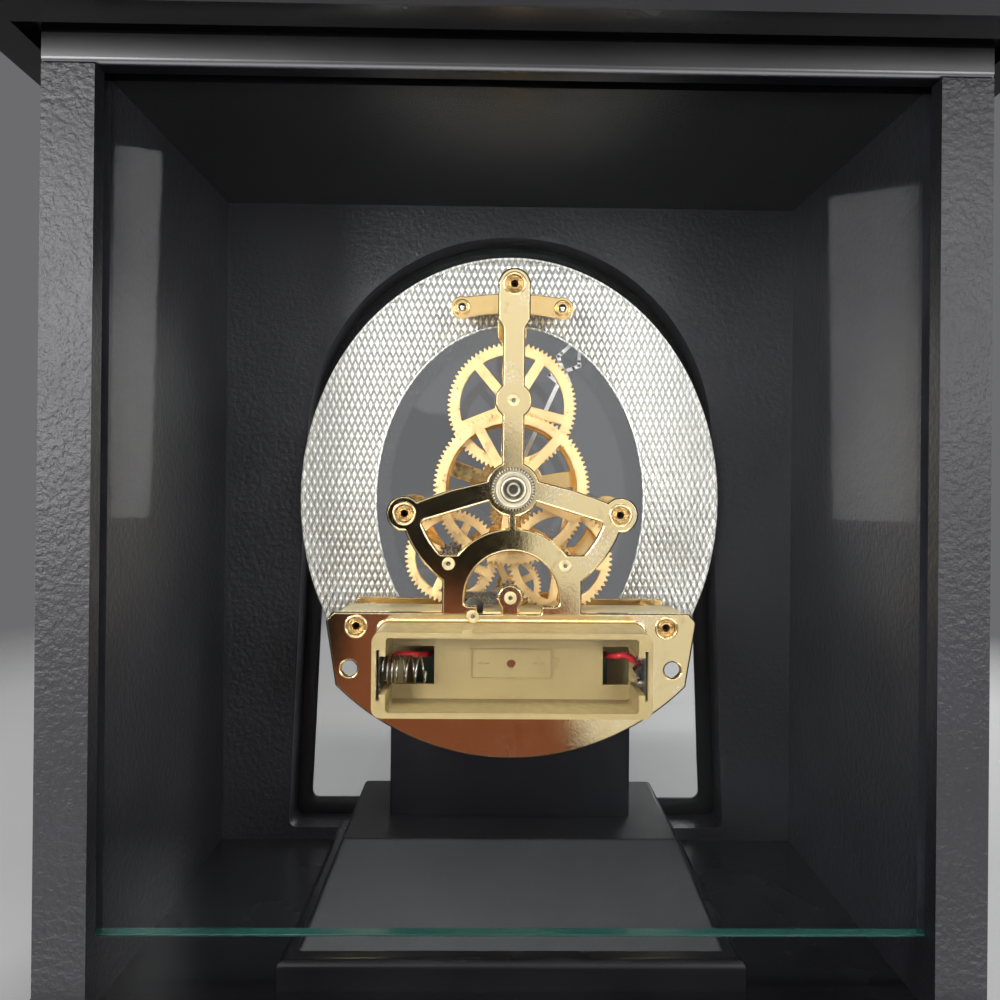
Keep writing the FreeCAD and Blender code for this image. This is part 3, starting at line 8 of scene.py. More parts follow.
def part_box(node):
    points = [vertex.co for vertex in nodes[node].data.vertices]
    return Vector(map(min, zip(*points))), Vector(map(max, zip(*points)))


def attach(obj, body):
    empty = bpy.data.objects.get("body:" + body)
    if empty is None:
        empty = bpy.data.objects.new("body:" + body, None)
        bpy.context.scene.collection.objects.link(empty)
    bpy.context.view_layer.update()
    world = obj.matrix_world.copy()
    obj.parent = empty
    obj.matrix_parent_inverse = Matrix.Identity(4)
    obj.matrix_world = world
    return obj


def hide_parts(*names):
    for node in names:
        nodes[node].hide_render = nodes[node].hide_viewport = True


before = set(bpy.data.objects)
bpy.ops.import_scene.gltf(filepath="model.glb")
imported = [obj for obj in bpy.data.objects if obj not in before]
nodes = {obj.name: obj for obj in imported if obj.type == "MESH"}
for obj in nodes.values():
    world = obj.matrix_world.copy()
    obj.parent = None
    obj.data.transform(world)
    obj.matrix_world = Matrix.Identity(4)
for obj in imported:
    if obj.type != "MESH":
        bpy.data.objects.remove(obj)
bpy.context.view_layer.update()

MM = 0.001
SHAFT_Z = sum(c.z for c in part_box("setting_knob")) / 2


# Material building
SPECK_CELL = 5 * MM
SPECK_SHARES = (0.03, 0.05)
SPECK_COLOUR = (0.5, 0.5, 0.52)
EDGE_WEAR = 0.4 * MM


class Paint:
    """A node material with one Principled shader and a few texture helpers."""

    def __init__(self, name, colour, metallic=0.0, roughness=0.5, **settings):
        self.material = bpy.data.materials.new(name)
        self.material.use_nodes = True
        self.tree = self.material.node_tree
        self.shader = self.tree.nodes["Principled BSDF"]
        self.output = self.tree.nodes["Material Output"]
        self.shader.inputs["Base Color"].default_value = (*colour, 1)
        self.shader.inputs["Metallic"].default_value = metallic
        self.shader.inputs["Roughness"].default_value = roughness
        for key, value in settings.items():
            self.shader.inputs[key.replace("_", " ")].default_value = value
        self.place = self.add("ShaderNodeTexCoord").outputs["Object"]

    def add(self, kind, **properties):
        node = self.tree.nodes.new(kind)
        for key, value in properties.items():
            setattr(node, key, value)
        return node

    def link(self, source, target):
        if isinstance(source, bpy.types.NodeSocket):
            self.tree.links.new(source, target)
        else:
            target.default_value = source

    def math(self, operation, a, b=0.0):
        node = self.add("ShaderNodeMath", operation=operation)
        self.link(a, node.inputs[0])
        self.link(b, node.inputs[1])
        return node.outputs[0]

    def distance(self, a, b):
        """Length of a vector whose two parts are given."""
        squares = self.math("ADD", self.math("POWER", a, 2.0), self.math("POWER", b, 2.0))
        return self.math("SQRT", squares)

    def split(self):
        """The three coordinates of the point that is painted."""
        node = self.add("ShaderNodeSeparateXYZ")
        self.tree.links.new(self.place, node.inputs[0])
        return node.outputs

    def stretched(self, scale):
        node = self.add("ShaderNodeMapping")
        self.tree.links.new(self.place, node.inputs["Vector"])
        node.inputs["Scale"].default_value = scale
        return node.outputs[0]

    def noise(self, size, detail=3.0, roughness=0.55, stretch=None, distortion=0.0):
        """Noise whose blobs are about the given size in metres."""
        node = self.add("ShaderNodeTexNoise")
        source = self.stretched(stretch) if stretch else self.place
        self.tree.links.new(source, node.inputs["Vector"])
        node.inputs["Scale"].default_value = 1 / size
        node.inputs["Detail"].default_value = detail
        node.inputs["Roughness"].default_value = roughness
        node.inputs["Distortion"].default_value = distortion
        return node.outputs["Fac"]

    def between(self, value, low, high, out_low=0.0, out_high=1.0):
        """A value mapped from low and high to the two outputs, and held at them beyond."""
        node = self.add("ShaderNodeMapRange")
        self.link(value, node.inputs["Value"])
        spans = {"From Min": low, "From Max": high, "To Min": out_low, "To Max": out_high}
        for key, number in spans.items():
            node.inputs[key].default_value = number
        return node.outputs[0]

    def blend(self, factor, a, b):
        node = self.add("ShaderNodeMix", data_type="RGBA")
        self.link(factor, node.inputs[0])
        for socket, colour in ((node.inputs[6], a), (node.inputs[7], b)):
            self.link((*colour, 1) if isinstance(colour, tuple) else colour, socket)
        return node.outputs[2]

    def colour(self, socket):
        self.tree.links.new(socket, self.shader.inputs["Base Color"])

    def roughness(self, socket):
        self.tree.links.new(socket, self.shader.inputs["Roughness"])

    def gloss(self, value):
        self.link(value, self.shader.inputs["Specular IOR Level"])

    def bump(self, height, depth, strength=1.0):
        """Add relief of a depth in metres on top of what is there."""
        node = self.add("ShaderNodeBump")
        node.inputs["Strength"].default_value = strength
        node.inputs["Distance"].default_value = depth
        self.tree.links.new(height, node.inputs["Height"])
        target = self.shader.inputs["Normal"]
        if target.links:
            self.tree.links.new(target.links[0].from_socket, node.inputs["Normal"])
        self.tree.links.new(node.outputs[0], target)

    def specks(self, base, share):
        """Base colour with sparse specks of dust, in the given share of the cells."""
        cell = self.add("ShaderNodeTexVoronoi")
        self.tree.links.new(self.place, cell.inputs["Vector"])
        cell.inputs["Scale"].default_value = 1 / SPECK_CELL
        near = self.between(cell.outputs["Distance"], *SPECK_SHARES, 1.0, 0.0)
        pick = self.add("ShaderNodeSeparateColor")
        self.tree.links.new(cell.outputs["Color"], pick.inputs[0])
        chosen = self.math("LESS_THAN", pick.outputs[0], share)
        return self.blend(self.math("MULTIPLY", near, chosen), base, SPECK_COLOUR)

    def mirrored(self):
        """One for what a surface mirrors, zero for what is seen straight or through glass."""
        path = self.add("ShaderNodeLightPath")
        return self.math("GREATER_THAN", path.outputs["Glossy Depth"], 0.5)

    def open_up(self, factor, tint=(1.0, 1.0, 1.0)):
        """Let light straight through the surface as far as the factor says."""
        clear = self.add("ShaderNodeBsdfTransparent")
        clear.inputs[0].default_value = (*tint, 1)
        mix = self.add("ShaderNodeMixShader")
        self.tree.links.new(factor, mix.inputs[0])
        self.tree.links.new(self.shader.outputs[0], mix.inputs[1])
        self.tree.links.new(clear.outputs[0], mix.inputs[2])
        self.tree.links.new(mix.outputs[0], self.output.inputs[0])


def lacquer(name, tone, roughness, grain_size, grain_depth, gloss=0.3, dust=0.02, rubbed=None):
    """Black lacquer over wood: fine sprayed grain, soft changes of gloss and a little dust.

    Between the two places along Y given as rubbed, the gloss grows toward the second.
    """
    paint = Paint(name, tone, roughness=roughness)
    paint.gloss(gloss)
    if rubbed:
        paint.gloss(paint.between(paint.split()[1], *rubbed, gloss, 1.0))
    cloud = paint.noise(30 * MM, 2.0)
    lighter = tuple(c * 1.7 + 0.002 for c in tone)
    body = paint.blend(paint.between(cloud, 0.35, 0.7), tone, lighter)
    paint.colour(paint.specks(body, dust))
    drift = paint.noise(25 * MM, 3.0)
    paint.roughness(paint.between(drift, 0.3, 0.7, roughness - 0.025, roughness + 0.03))
    paint.bump(paint.noise(20 * MM, 2.0, stretch=(1.0, 1.0, 0.15)), 0.06 * MM, 0.5)
    paint.bump(paint.noise(grain_size, 2.0, 0.6), grain_depth, 0.8)
    return paint.material


def plated(name, colour, roughness, wave=0.04 * MM, fine=0.01 * MM, tarnish=(0.6, 0.38, 0.16), dust=0.0):
    """Plated or polished metal: slow waves in the sheet, fine pits, worn edges and faint tarnish."""
    paint = Paint(name, colour, metallic=1.0, roughness=roughness)
    cloud = paint.noise(6 * MM, 5.0, 0.65, distortion=0.6)
    tone = paint.blend(paint.between(cloud, 0.55, 0.8, 0.0, 0.55), colour, tarnish)
    paint.colour(tone)
    grime = paint.noise(1.5 * MM, 5.0, 0.7)
    if dust:
        patch = paint.between(paint.noise(11 * MM, 3.0, 0.6), 0.5, 0.62)
        grain = paint.between(paint.noise(0.45 * MM, 2.0), 0.54, 0.62)
        grain = paint.math("MULTIPLY", grain, paint.math("MULTIPLY", patch, dust))
        paint.colour(paint.blend(grain, tone, (0.95, 0.90, 0.78)))
        grime = paint.math("ADD", grime, grain)
    paint.roughness(paint.between(grime, 0.3, 0.75, roughness * 0.7, roughness * 1.7 + 0.02))
    edge = paint.add("ShaderNodeBevel", samples=4)
    edge.inputs["Radius"].default_value = EDGE_WEAR
    paint.tree.links.new(edge.outputs[0], paint.shader.inputs["Normal"])
    paint.bump(paint.noise(14 * MM, 1.5), wave, 0.9)
    paint.bump(paint.noise(0.7 * MM, 4.0, 0.7), fine, 0.6)
    return paint.material


def clear_glass(name, tint, bend):
    """Glass that lets lamps through, so that what is behind it stays lit."""
    paint = Paint(name, tint, IOR=bend, Transmission_Weight=1.0)
    smear = paint.noise(35 * MM, 3.0, 0.6, distortion=1.2)
    paint.roughness(paint.between(smear, 0.45, 0.75, 0.0, 0.02))
    path = paint.add("ShaderNodeLightPath")
    paint.open_up(path.outputs["Is Shadow Ray"], (0.93, 0.96, 0.95))
    return paint.material


def plastic(name, colour, roughness, shade=0.75, grain=0.6 * MM, depth=0.02 * MM):
    """Moulded plastic with a fine spark-eroded grain and slight colour drift."""
    paint = Paint(name, colour, roughness=roughness)
    darker = tuple(c * shade for c in colour)
    paint.colour(paint.blend(paint.between(paint.noise(8 * MM, 4.0), 0.35, 0.75), colour, darker))
    paint.roughness(paint.between(paint.noise(2 * MM, 3.0), 0.3, 0.7, roughness - 0.06, roughness + 0.08))
    paint.bump(paint.noise(grain, 3.0), depth, 0.7)
    return paint.material


def steel(name, colour, roughness, streak=(1.0, 1.0, 1.0)):
    """Turned or drawn metal with fine lines round its length."""
    paint = Paint(name, colour, metallic=1.0, roughness=roughness)
    lines = paint.noise(0.6 * MM, 3.0, 0.6, stretch=streak)
    darker = tuple(c * 0.62 for c in colour)
    paint.colour(paint.blend(paint.between(paint.noise(3 * MM, 4.0), 0.45, 0.8, 0.0, 0.7), colour, darker))
    paint.roughness(paint.between(lines, 0.3, 0.7, roughness * 0.75, roughness * 1.4))
    paint.bump(lines, 0.01 * MM, 0.7)
    return paint.material


BLACK = (0.004, 0.004, 0.005)
LACQUER_GRAIN = 1.2 * MM
RUBBED_WIDTH = 1.2 * MM
ceiling_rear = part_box("ceiling_board")[1].y

LOOKS = {
    "satin_black": lacquer("satin_black", BLACK, 0.26, LACQUER_GRAIN, 0.003 * MM),
    "gloss_black": lacquer("gloss_black", (0.0025, 0.0025, 0.0032), 0.34, 1.6 * MM, 0.002 * MM, gloss=0.09,
                           dust=0.004, rubbed=(ceiling_rear - RUBBED_WIDTH, ceiling_rear)),
    "sprayed_black": lacquer("sprayed_black", (0.007, 0.0068, 0.0098), 0.4, 1.3 * MM, 0.26 * MM, gloss=0.5,
                             dust=0.0),
    "pyramid_black": lacquer("pyramid_black", BLACK, 0.4, LACQUER_GRAIN, 0.006 * MM, gloss=0.19),
    "block_black": lacquer("block_black", (0.003, 0.003, 0.004), 0.3, LACQUER_GRAIN, 0.003 * MM, gloss=0.1,
                           dust=0.01),
    "foot_rubber": plastic("foot_rubber", (0.02, 0.02, 0.021), 0.8, grain=0.9 * MM, depth=0.06 * MM),
    "polished_gold": plated("polished_gold", (0.92, 0.73, 0.40), 0.045, dust=0.9),
    "shadow_gold": plated("shadow_gold", (0.86, 0.60, 0.27), 0.14),
    "wheel_gold": plated("wheel_gold", (0.85, 0.60, 0.30), 0.34, wave=0.01 * MM, fine=0.006 * MM,
                         tarnish=(0.88, 0.60, 0.28)),
    "brass": plated("brass", (0.78, 0.57, 0.27), 0.24, tarnish=(0.35, 0.20, 0.08)),
    "dark_brass": plated("dark_brass", (0.56, 0.37, 0.15), 0.22, tarnish=(0.22, 0.12, 0.05)),
    "bush_brass": plated("bush_brass", (0.62, 0.50, 0.28), 0.34, tarnish=(0.4, 0.3, 0.15)),
    "nickel": steel("nickel", (0.60, 0.57, 0.48), 0.2),
    "arbor_steel": steel("arbor_steel", (0.30, 0.285, 0.26), 0.24),
    "spring_steel": steel("spring_steel", (0.36, 0.33, 0.29), 0.22),
    "dark_steel": steel("dark_steel", (0.10, 0.095, 0.09), 0.3),
    "rivet_silver": steel("rivet_silver", (0.82, 0.81, 0.79), 0.2),
    "hand_silver": plastic("hand_silver", (0.86, 0.86, 0.88), 0.3, shade=0.9),
    "box_plastic": plastic("box_plastic", (0.29, 0.21, 0.088), 0.4, shade=0.88),
    "housing_plastic": plastic("housing_plastic", (0.50, 0.40, 0.20), 0.4, shade=0.8),
    "wire_red": plastic("wire_red", (0.55, 0.02, 0.03), 0.35, shade=0.8, grain=0.4 * MM, depth=0.01 * MM),
    "board_green": plastic("board_green", (0.02, 0.11, 0.05), 0.35, shade=0.6),
    "copper": steel("copper", (0.72, 0.34, 0.17), 0.3, streak=(8.0, 1.0, 1.0)),
    "magnet": steel("magnet", (0.16, 0.155, 0.15), 0.45),
    "marker_black": plastic("marker_black", (0.012, 0.012, 0.013), 0.3),
    "window_glass": clear_glass("window_glass", (0.985, 0.99, 0.99), 1.4),
    "door_glass": clear_glass("door_glass", (0.98, 0.988, 0.988), 1.1),
}

WEARERS = {
    "satin_black": ("base_moulding", "floor_board", "cornice", "top_cap", "pedestal_plinth"),
    "gloss_black": ("ceiling_board",),
    "sprayed_black": ("side_left", "side_right", "front_panel"),
    "pyramid_black": ("pedestal_pyramid",),
    "block_black": ("pedestal_block",),
    "foot_rubber": ("feet",),
    "polished_gold": ("back_plate", "plate_pillars"),
    "shadow_gold": ("front_plate",),
    "wheel_gold": ("upper_wheel", "centre_wheel", "centre_pinion", "right_wheel", "left_wheel",
                   "fourth_wheel"),
    "brass": ("plate_screws", "front_screws", "front_bushes", "cannon_pinion", "motion_wheel",
              "hour_wheel"),
    "bush_brass": ("rear_bushes",),
    "nickel": ("hand_nut", "setting_knob"),
    "arbor_steel": ("pedestal_screws", "quartz_crystal", "stator", "rotor_arbor", "upper_arbor",
                    "right_arbor", "left_arbor", "small_arbor", "motion_stud"),
    "spring_steel": ("contact_spring",),
    "dark_steel": ("spring_contact_plate", "flat_contact", "centre_shaft"),
    "rivet_silver": ("contact_rivets", "dial_studs"),
    "hand_silver": ("hour_hand", "minute_hand"),
    "box_plastic": ("battery_box",),
    "housing_plastic": ("gear_housing",),
    "wire_red": ("battery_wires",),
    "board_green": ("circuit_board",),
    "copper": ("drive_coil",),
    "magnet": ("rotor_magnet",),
    "marker_black": ("hour_markers",),
    "window_glass": ("front_glass",),
    "door_glass": ("rear_glass",),
}

for look, wearers in WEARERS.items():
    for name in wearers:
        mesh = nodes[name].data
        mesh.materials.clear()
        mesh.materials.append(LOOKS[look])


# Mesh pieces
def dressed(name, build, look):
    """A mesh object made by build(bm) that wears a look."""
    mesh = bpy.data.meshes.new(name)
    bm = bmesh.new()
    build(bm)
    bm.normal_update()
    bm.to_mesh(mesh)
    bm.free()
    mesh.materials.append(look)
    obj = bpy.data.objects.new(name, mesh)
    bpy.context.scene.collection.objects.link(obj)
    return obj


def piece(name, build, look, body="case"):
    """A dressed object that rides on a body."""
    obj = dressed(name, build, look)
    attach(obj, body)
    return obj


def smooth(obj, angle=35):
    for face in obj.data.polygons:
        face.use_smooth = True
    obj.data.set_sharp_from_angle(angle=math.radians(angle))


def close_rings(bm, rings):
    """Faces from each ring of points to the next, and from the last one back to the first."""
    for j, ring in enumerate(rings):
        ahead = rings[(j + 1) % len(rings)]
        for i in range(len(ring)):
            k = (i + 1) % len(ring)
            bm.faces.new((ring[i], ring[k], ahead[k], ahead[i]))
    bmesh.ops.recalc_face_normals(bm, faces=bm.faces)


def prism(bm, near, far):
    """A solid between two outlines with the same number of points."""
    ends = [[bm.verts.new(point) for point in outline] for outline in (near, far)]
    for end in ends:
        bm.faces.new(end)
    for i in range(len(near)):
        k = (i + 1) % len(near)
        bm.faces.new((ends[0][i], ends[0][k], ends[1][k], ends[1][i]))
    bmesh.ops.recalc_face_normals(bm, faces=bm.faces)


def lathe(bm, x, z, profile, steps, radius_at=None):
    """A closed profile of (radius, y) points turned round the axis at x, z."""
    rings = []
    for index, (radius, y) in enumerate(profile):
        ring = []
        for i in range(steps):
            angle = math.tau * i / steps
            r = radius_at(index, i, radius) if radius_at else radius
            ring.append(bm.verts.new((x + r * math.cos(angle), y, z + r * math.sin(angle))))
        rings.append(ring)
    close_rings(bm, rings)


# Dial ring with its stamped lozenge pattern
LOZENGE_WIDE = 1.724 * MM
LOZENGE_TALL = 4.3 * MM
RELIEF = 0.2 * MM
CELL_CUTS = (0.0, 0.1, 0.2, 0.5, 0.8, 0.9)
CELL_HEIGHTS = (0.45, 0.0, 0.5, 1.0, 0.5, 0.0)
CELL_STEPS = len(CELL_CUTS)
PATTERN_MARGIN = 0.3 * MM
PATTERN_REACH = 1 * MM
PATTERN_DEPTH = 0.12 * MM
BAND_X = 20.9 * MM
BAND_Z = 19.2 * MM
RIM_OUT = 0.75 * MM
RIM_IN = 0.6 * MM
RIM_STEPS = 480
GROOVE_SHARE = 0.09

dial_low, dial_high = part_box("dial_ring")
dial_mid = (dial_low + dial_high) / 2
OUTER_X = (dial_high.x - dial_low.x) / 2
OUTER_Z = (dial_high.z - dial_low.z) / 2
INNER_X = OUTER_X - BAND_X
INNER_Z = OUTER_Z - BAND_Z


def on_ring(x, z, inset):
    """Whether a place lies on the oval band, at least an inset from both of its edges."""
    in_outer = (x / (OUTER_X - inset)) ** 2 + (z / (OUTER_Z - inset)) ** 2 < 1
    return in_outer and (x / (INNER_X + inset)) ** 2 + (z / (INNER_Z + inset)) ** 2 > 1


def build_dial(bm):
    """A stamped sheet of low lozenge-shaped pillows with a ridge between two grooves round each."""
    rear = dial_high.y - PATTERN_DEPTH
    front = dial_low.y
    reach = math.ceil((OUTER_X / LOZENGE_WIDE + OUTER_Z / LOZENGE_TALL) * CELL_STEPS) + 1
    corners = {}

    def corner(i, j):
        if (i, j) not in corners:
            a = i // CELL_STEPS + CELL_CUTS[i % CELL_STEPS]
            b = j // CELL_STEPS + CELL_CUTS[j % CELL_STEPS]
            x, z = LOZENGE_WIDE * (a + b) / 2, LOZENGE_TALL * (a - b) / 2
            if not on_ring(x, z, PATTERN_MARGIN):
                corners[i, j] = None
            else:
                along, across = CELL_HEIGHTS[i % CELL_STEPS], CELL_HEIGHTS[j % CELL_STEPS]
                height = RELIEF * min(along, across)
                place_x, place_z = dial_mid.x + x, dial_mid.z + z
                corners[i, j] = (
                    bm.verts.new((place_x, rear - RELIEF + height, place_z)),
                    bm.verts.new((place_x, front + RELIEF * 0.5 - height * 0.5, place_z)),
                )
        return corners[i, j]

    for i in range(-reach, reach):
        for j in range(-reach, reach):
            x = LOZENGE_WIDE * (i + j) / (2 * CELL_STEPS)
            z = LOZENGE_TALL * (i - j) / (2 * CELL_STEPS)
            if not on_ring(x, z, -PATTERN_REACH):
                continue
            quad = [corner(i, j), corner(i + 1, j), corner(i + 1, j + 1), corner(i, j + 1)]
            if all(quad):
                bm.faces.new([c[0] for c in quad])
                bm.faces.new([c[1] for c in quad][::-1])
    loose = [v for v in bm.verts if not v.link_faces]
    bmesh.ops.delete(bm, geom=loose, context="VERTS")
    twin = {}
    for pair in corners.values():
        if pair and pair[0].is_valid:
            twin[pair[0]] = pair[1]
    for edge in [e for e in bm.edges if e.is_boundary and e.verts[0] in twin and e.verts[1] in twin]:
        u, v = edge.verts
        bm.faces.new((u, v, twin[v], twin[u]))
    bmesh.ops.recalc_face_normals(bm, faces=bm.faces)


def build_dial_rims(bm):
    """Smooth bands along the outer and the inner edge that hide the cut ends of the pattern."""
    low, high = dial_low.y, dial_high.y
    section = (
        (0, low + 0.1 * MM), (0, high - 0.15 * MM), (0.15, high), (0.75, high - 0.02 * MM),
        (1, high - 0.3 * MM), (1, low + 0.3 * MM), (0.8, low), (0.15, low),
    )
    for half_x, half_z, width in ((OUTER_X, OUTER_Z, -RIM_OUT), (INNER_X, INNER_Z, RIM_IN)):
        rings = []
        for share, y in section:
            x, z = half_x + width * share, half_z + width * share
            ring = []
            for i in range(RIM_STEPS):
                turn = math.tau * i / RIM_STEPS
                place = (dial_mid.x + x * math.cos(turn), y, dial_mid.z + z * math.sin(turn))
                ring.append(bm.verts.new(place))
            rings.append(ring)
        close_rings(bm, rings)


def dial_look():
    """Matt silver with painted shade: dark lines are painted into the colour where the grooves of the pattern
    run.
    """
    paint = Paint("stamped_silver", (0.86, 0.85, 0.82), metallic=0.8, roughness=0.3)
    place_x, _, place_z = paint.split()
    x = paint.math("DIVIDE", paint.math("SUBTRACT", place_x, dial_mid.x), LOZENGE_WIDE)
    z = paint.math("DIVIDE", paint.math("SUBTRACT", place_z, dial_mid.z), LOZENGE_TALL)
    near_a = paint.math("PINGPONG", paint.math("ADD", x, z), 0.5)
    near_b = paint.math("PINGPONG", paint.math("SUBTRACT", x, z), 0.5)
    past_groove = paint.math("SUBTRACT", paint.math("MINIMUM", near_a, near_b), GROOVE_SHARE)
    painted_groove_shade = paint.between(paint.math("ABSOLUTE", past_groove), 0.03, 0.08, 1.0, 0.0)
    cloud = paint.noise(12 * MM, 4.0)
    plain = paint.blend(paint.between(cloud, 0.4, 0.75, 0.0, 0.5), (0.97, 0.95, 0.90), (0.88, 0.86, 0.81))
    # Painted shade along the grooves of the pattern.
    paint.colour(paint.blend(painted_groove_shade, plain, (0.30, 0.295, 0.28)))
    paint.roughness(paint.between(paint.noise(3 * MM, 4.0), 0.3, 0.75, 0.3, 0.42))
    return paint.material


silver = dial_look()
dial = piece("stamped_dial", build_dial, silver)
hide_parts("dial_ring")
dial_rims = piece("dial_rims", build_dial_rims, silver)


# Setting knob with a milled edge and turned rings on its face. A point of the profile has a radius and a
# distance from the knob's front or rear end, both in millimetres.
KNURLS = 44
KNURL_STEPS = 4
KNURL_DEPTH = 0.5 * MM
KNOB_RADIUS = 5.3
KNOB_FACE = 4.42
KNOB_BORE = 1.03
KNOB_FRONT = (
    (KNOB_BORE, 0.0), (4.5, 0.0), (5.0, 0.25), (KNOB_RADIUS, 0.5), (KNOB_RADIUS, 3.9), (5.1, 4.15),
    (KNOB_FACE, 4.2),
)
KNOB_REAR = (
    (KNOB_FACE, 0.45), (4.3, 0.16), (4.05, 0.0), (3.7, 0.02), (3.55, 0.4), (3.3, 0.55), (3.12, 0.4),
    (2.98, 0.12), (2.6, 0.06), (2.4, 0.2), (2.28, 0.95), (1.95, 1.3), (1.85, 0.8), (1.6, 0.62), (1.32, 0.75),
    (1.22, 1.2), (1.2, 2.95), (KNOB_BORE, 2.97),
)
KNURLED_POINTS = (3, 4, 5)
TONE_RADIUS = 5.5 * MM
MILLED_FROM = 4.52 * MM
# Painted light and shade on the knob's face: shares of TONE_RADIUS with the brightness painted there, dark in
# the grooves and the bore, brighter on the faces between.
KNOB_LIGHT_AND_SHADE_SHARES = (
    (0.0, 0.01), (0.19, 0.012), (0.205, 0.5), (0.26, 0.42), (0.275, 0.08), (0.35, 0.11), (0.365, 0.55),
    (0.50, 0.62), (0.52, 0.06), (0.545, 0.08), (0.56, 0.50), (0.74, 0.58), (0.75, 0.10), (0.77, 0.12),
    (0.785, 0.68), (0.80, 0.05), (0.82, 0.06), (0.84, 0.5),
)
KNOB_TINT = (1.1, 0.98, 0.76)
knob_low, knob_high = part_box("setting_knob")


def build_knob(bm):
    profile = [(r * MM, knob_low.y + inset * MM) for r, inset in KNOB_FRONT]
    profile += [(r * MM, knob_high.y - inset * MM) for r, inset in KNOB_REAR]

    def radius_at(index, i, radius):
        if index in KNURLED_POINTS:
            return radius - KNURL_DEPTH * abs(i % KNURL_STEPS - KNURL_STEPS / 2) / (KNURL_STEPS / 2)
        return radius

    centre = (knob_low + knob_high) / 2
    lathe(bm, centre.x, centre.z, profile, KNURLS * KNURL_STEPS, radius_at)


def knob_look():
    """Turned nickel with painted light and shade, ring by ring from the middle: painted shade darkens the
    grooves and the bore, and brighter painted rings lie on the faces between.
    """
    paint = Paint("turned_nickel", (0.6, 0.57, 0.5), metallic=0.85, roughness=0.34)
    x, _, z = paint.split()
    rise = paint.math("SUBTRACT", z, SHAFT_Z)
    radius = paint.distance(x, rise)
    ramp = paint.add("ShaderNodeValToRGB")
    paint.tree.links.new(paint.math("DIVIDE", radius, TONE_RADIUS), ramp.inputs[0])
    for share, _ in KNOB_LIGHT_AND_SHADE_SHARES[1:-1]:
        ramp.color_ramp.elements.new(share)
    for stop, (share, tone) in zip(ramp.color_ramp.elements, KNOB_LIGHT_AND_SHADE_SHARES):
        stop.position = share
        stop.color = (*(tone * part for part in KNOB_TINT), 1)
    turn = paint.math("ARCTAN2", rise, x)
    tooth = paint.math("PINGPONG", paint.math("MULTIPLY", turn, KNURLS / math.tau), 0.5)
    # Painted shade: the valleys of the milled edge are darkened in the colour.
    painted_valley_shade = paint.between(tooth, 0.2, 0.4)
    at_rim = paint.math("GREATER_THAN", radius, MILLED_FROM)
    paint.colour(paint.blend(paint.math("MULTIPLY", painted_valley_shade, at_rim), ramp.outputs[0], (0.03, 0.028, 0.024)))
    paint.roughness(paint.between(paint.noise(0.9 * MM, 3.0, 0.6), 0.3, 0.7, 0.28, 0.42))
    return paint.material


knob = piece("ringed_knob", build_knob, knob_look(), "minute_train")
smooth(knob, 28)
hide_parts("setting_knob")


# Open hands, each a set of flat strips. A strip has its two ends, along the hand and across it, and its width,
# all in millimetres for the minute hand. Strips off the middle line stand on both sides of it.
HAND_STRIPS = (
    ((0.0, 0.0), (32.6, 0.0), 1.15),
    ((32.5, 0.0), (33.3, 3.4), 1.0),
    ((33.3, 3.4), (36.4, 0.2), 0.8),
    ((36.1, 0.1), (38.0, 2.1), 1.0),
    ((38.0, 2.1), (39.3, 3.3), 1.0),
    ((39.3, 3.3), (40.4, 2.7), 1.0),
    ((40.4, 2.7), (43.4, 1.5), 0.95),
    ((43.4, 1.5), (47.6, 0.0), 0.9),
    ((47.0, 0.0), (51.8, 0.0), 0.9),
)
HAND_STEPS = 64
OVERLAP_SHARE = 0.3
HUB_OVERLAP_SHARE = 0.8
HOUR_HAND_SHARE = 0.68
MINUTE_HUB = 2.56
MINUTE_BORE = 1.02
HOUR_HUB = 3.2
HOUR_BORE = 1.72
MINUTE_LEAN = math.radians(24.4)
HOUR_LEAN = MINUTE_LEAN / 12


def build_hand(node, hub, bore, lean, scale):
    """A hand that leans from upright toward -X, in the place of the CAD's plain one."""
    low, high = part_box(node)
    axis = Vector((-math.sin(lean), 0, math.cos(lean)))
    across = Vector((math.cos(lean), 0, math.sin(lean)))
    centre = Vector((0, 0, SHAFT_Z))

    def strip(bm, a, b, width):
        along = (b - a).normalized()
        wide = along.cross(Vector((0, 1, 0))) * width / 2 * MM
        reach = along * width * OVERLAP_SHARE * MM
        corners = (a - wide - reach, b - wide + reach, b + wide + reach, a + wide - reach)
        prism(bm, *([(c.x, y, c.z) for c in corners] for y in (low.y, high.y)))

    def build(bm):
        for start, end, width in HAND_STRIPS:
            sides = (1, -1) if start[1] or end[1] else (1,)
            for side in sides:
                out = max(start[0] * scale, hub * HUB_OVERLAP_SHARE)
                a = centre + (axis * out + across * start[1] * side * scale) * MM
                b = centre + (axis * end[0] * scale + across * end[1] * side * scale) * MM
                strip(bm, a, b, width)
        ring = [(bore * MM, low.y), (hub * MM, low.y), (hub * MM, high.y), (bore * MM, high.y)]
        lathe(bm, 0, SHAFT_Z, ring, HAND_STEPS)
    return build


build_minute_hand = build_hand("minute_hand", MINUTE_HUB, MINUTE_BORE, MINUTE_LEAN, 1.0)
hand = piece("open_minute_hand", build_minute_hand, LOOKS["hand_silver"], "minute_train")
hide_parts("minute_hand")
build_hour_hand = build_hand("hour_hand", HOUR_HUB, HOUR_BORE, HOUR_LEAN, HOUR_HAND_SHARE)
hand = piece("open_hour_hand", build_hour_hand, LOOKS["hand_silver"], "hour_train")
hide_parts("hour_hand")


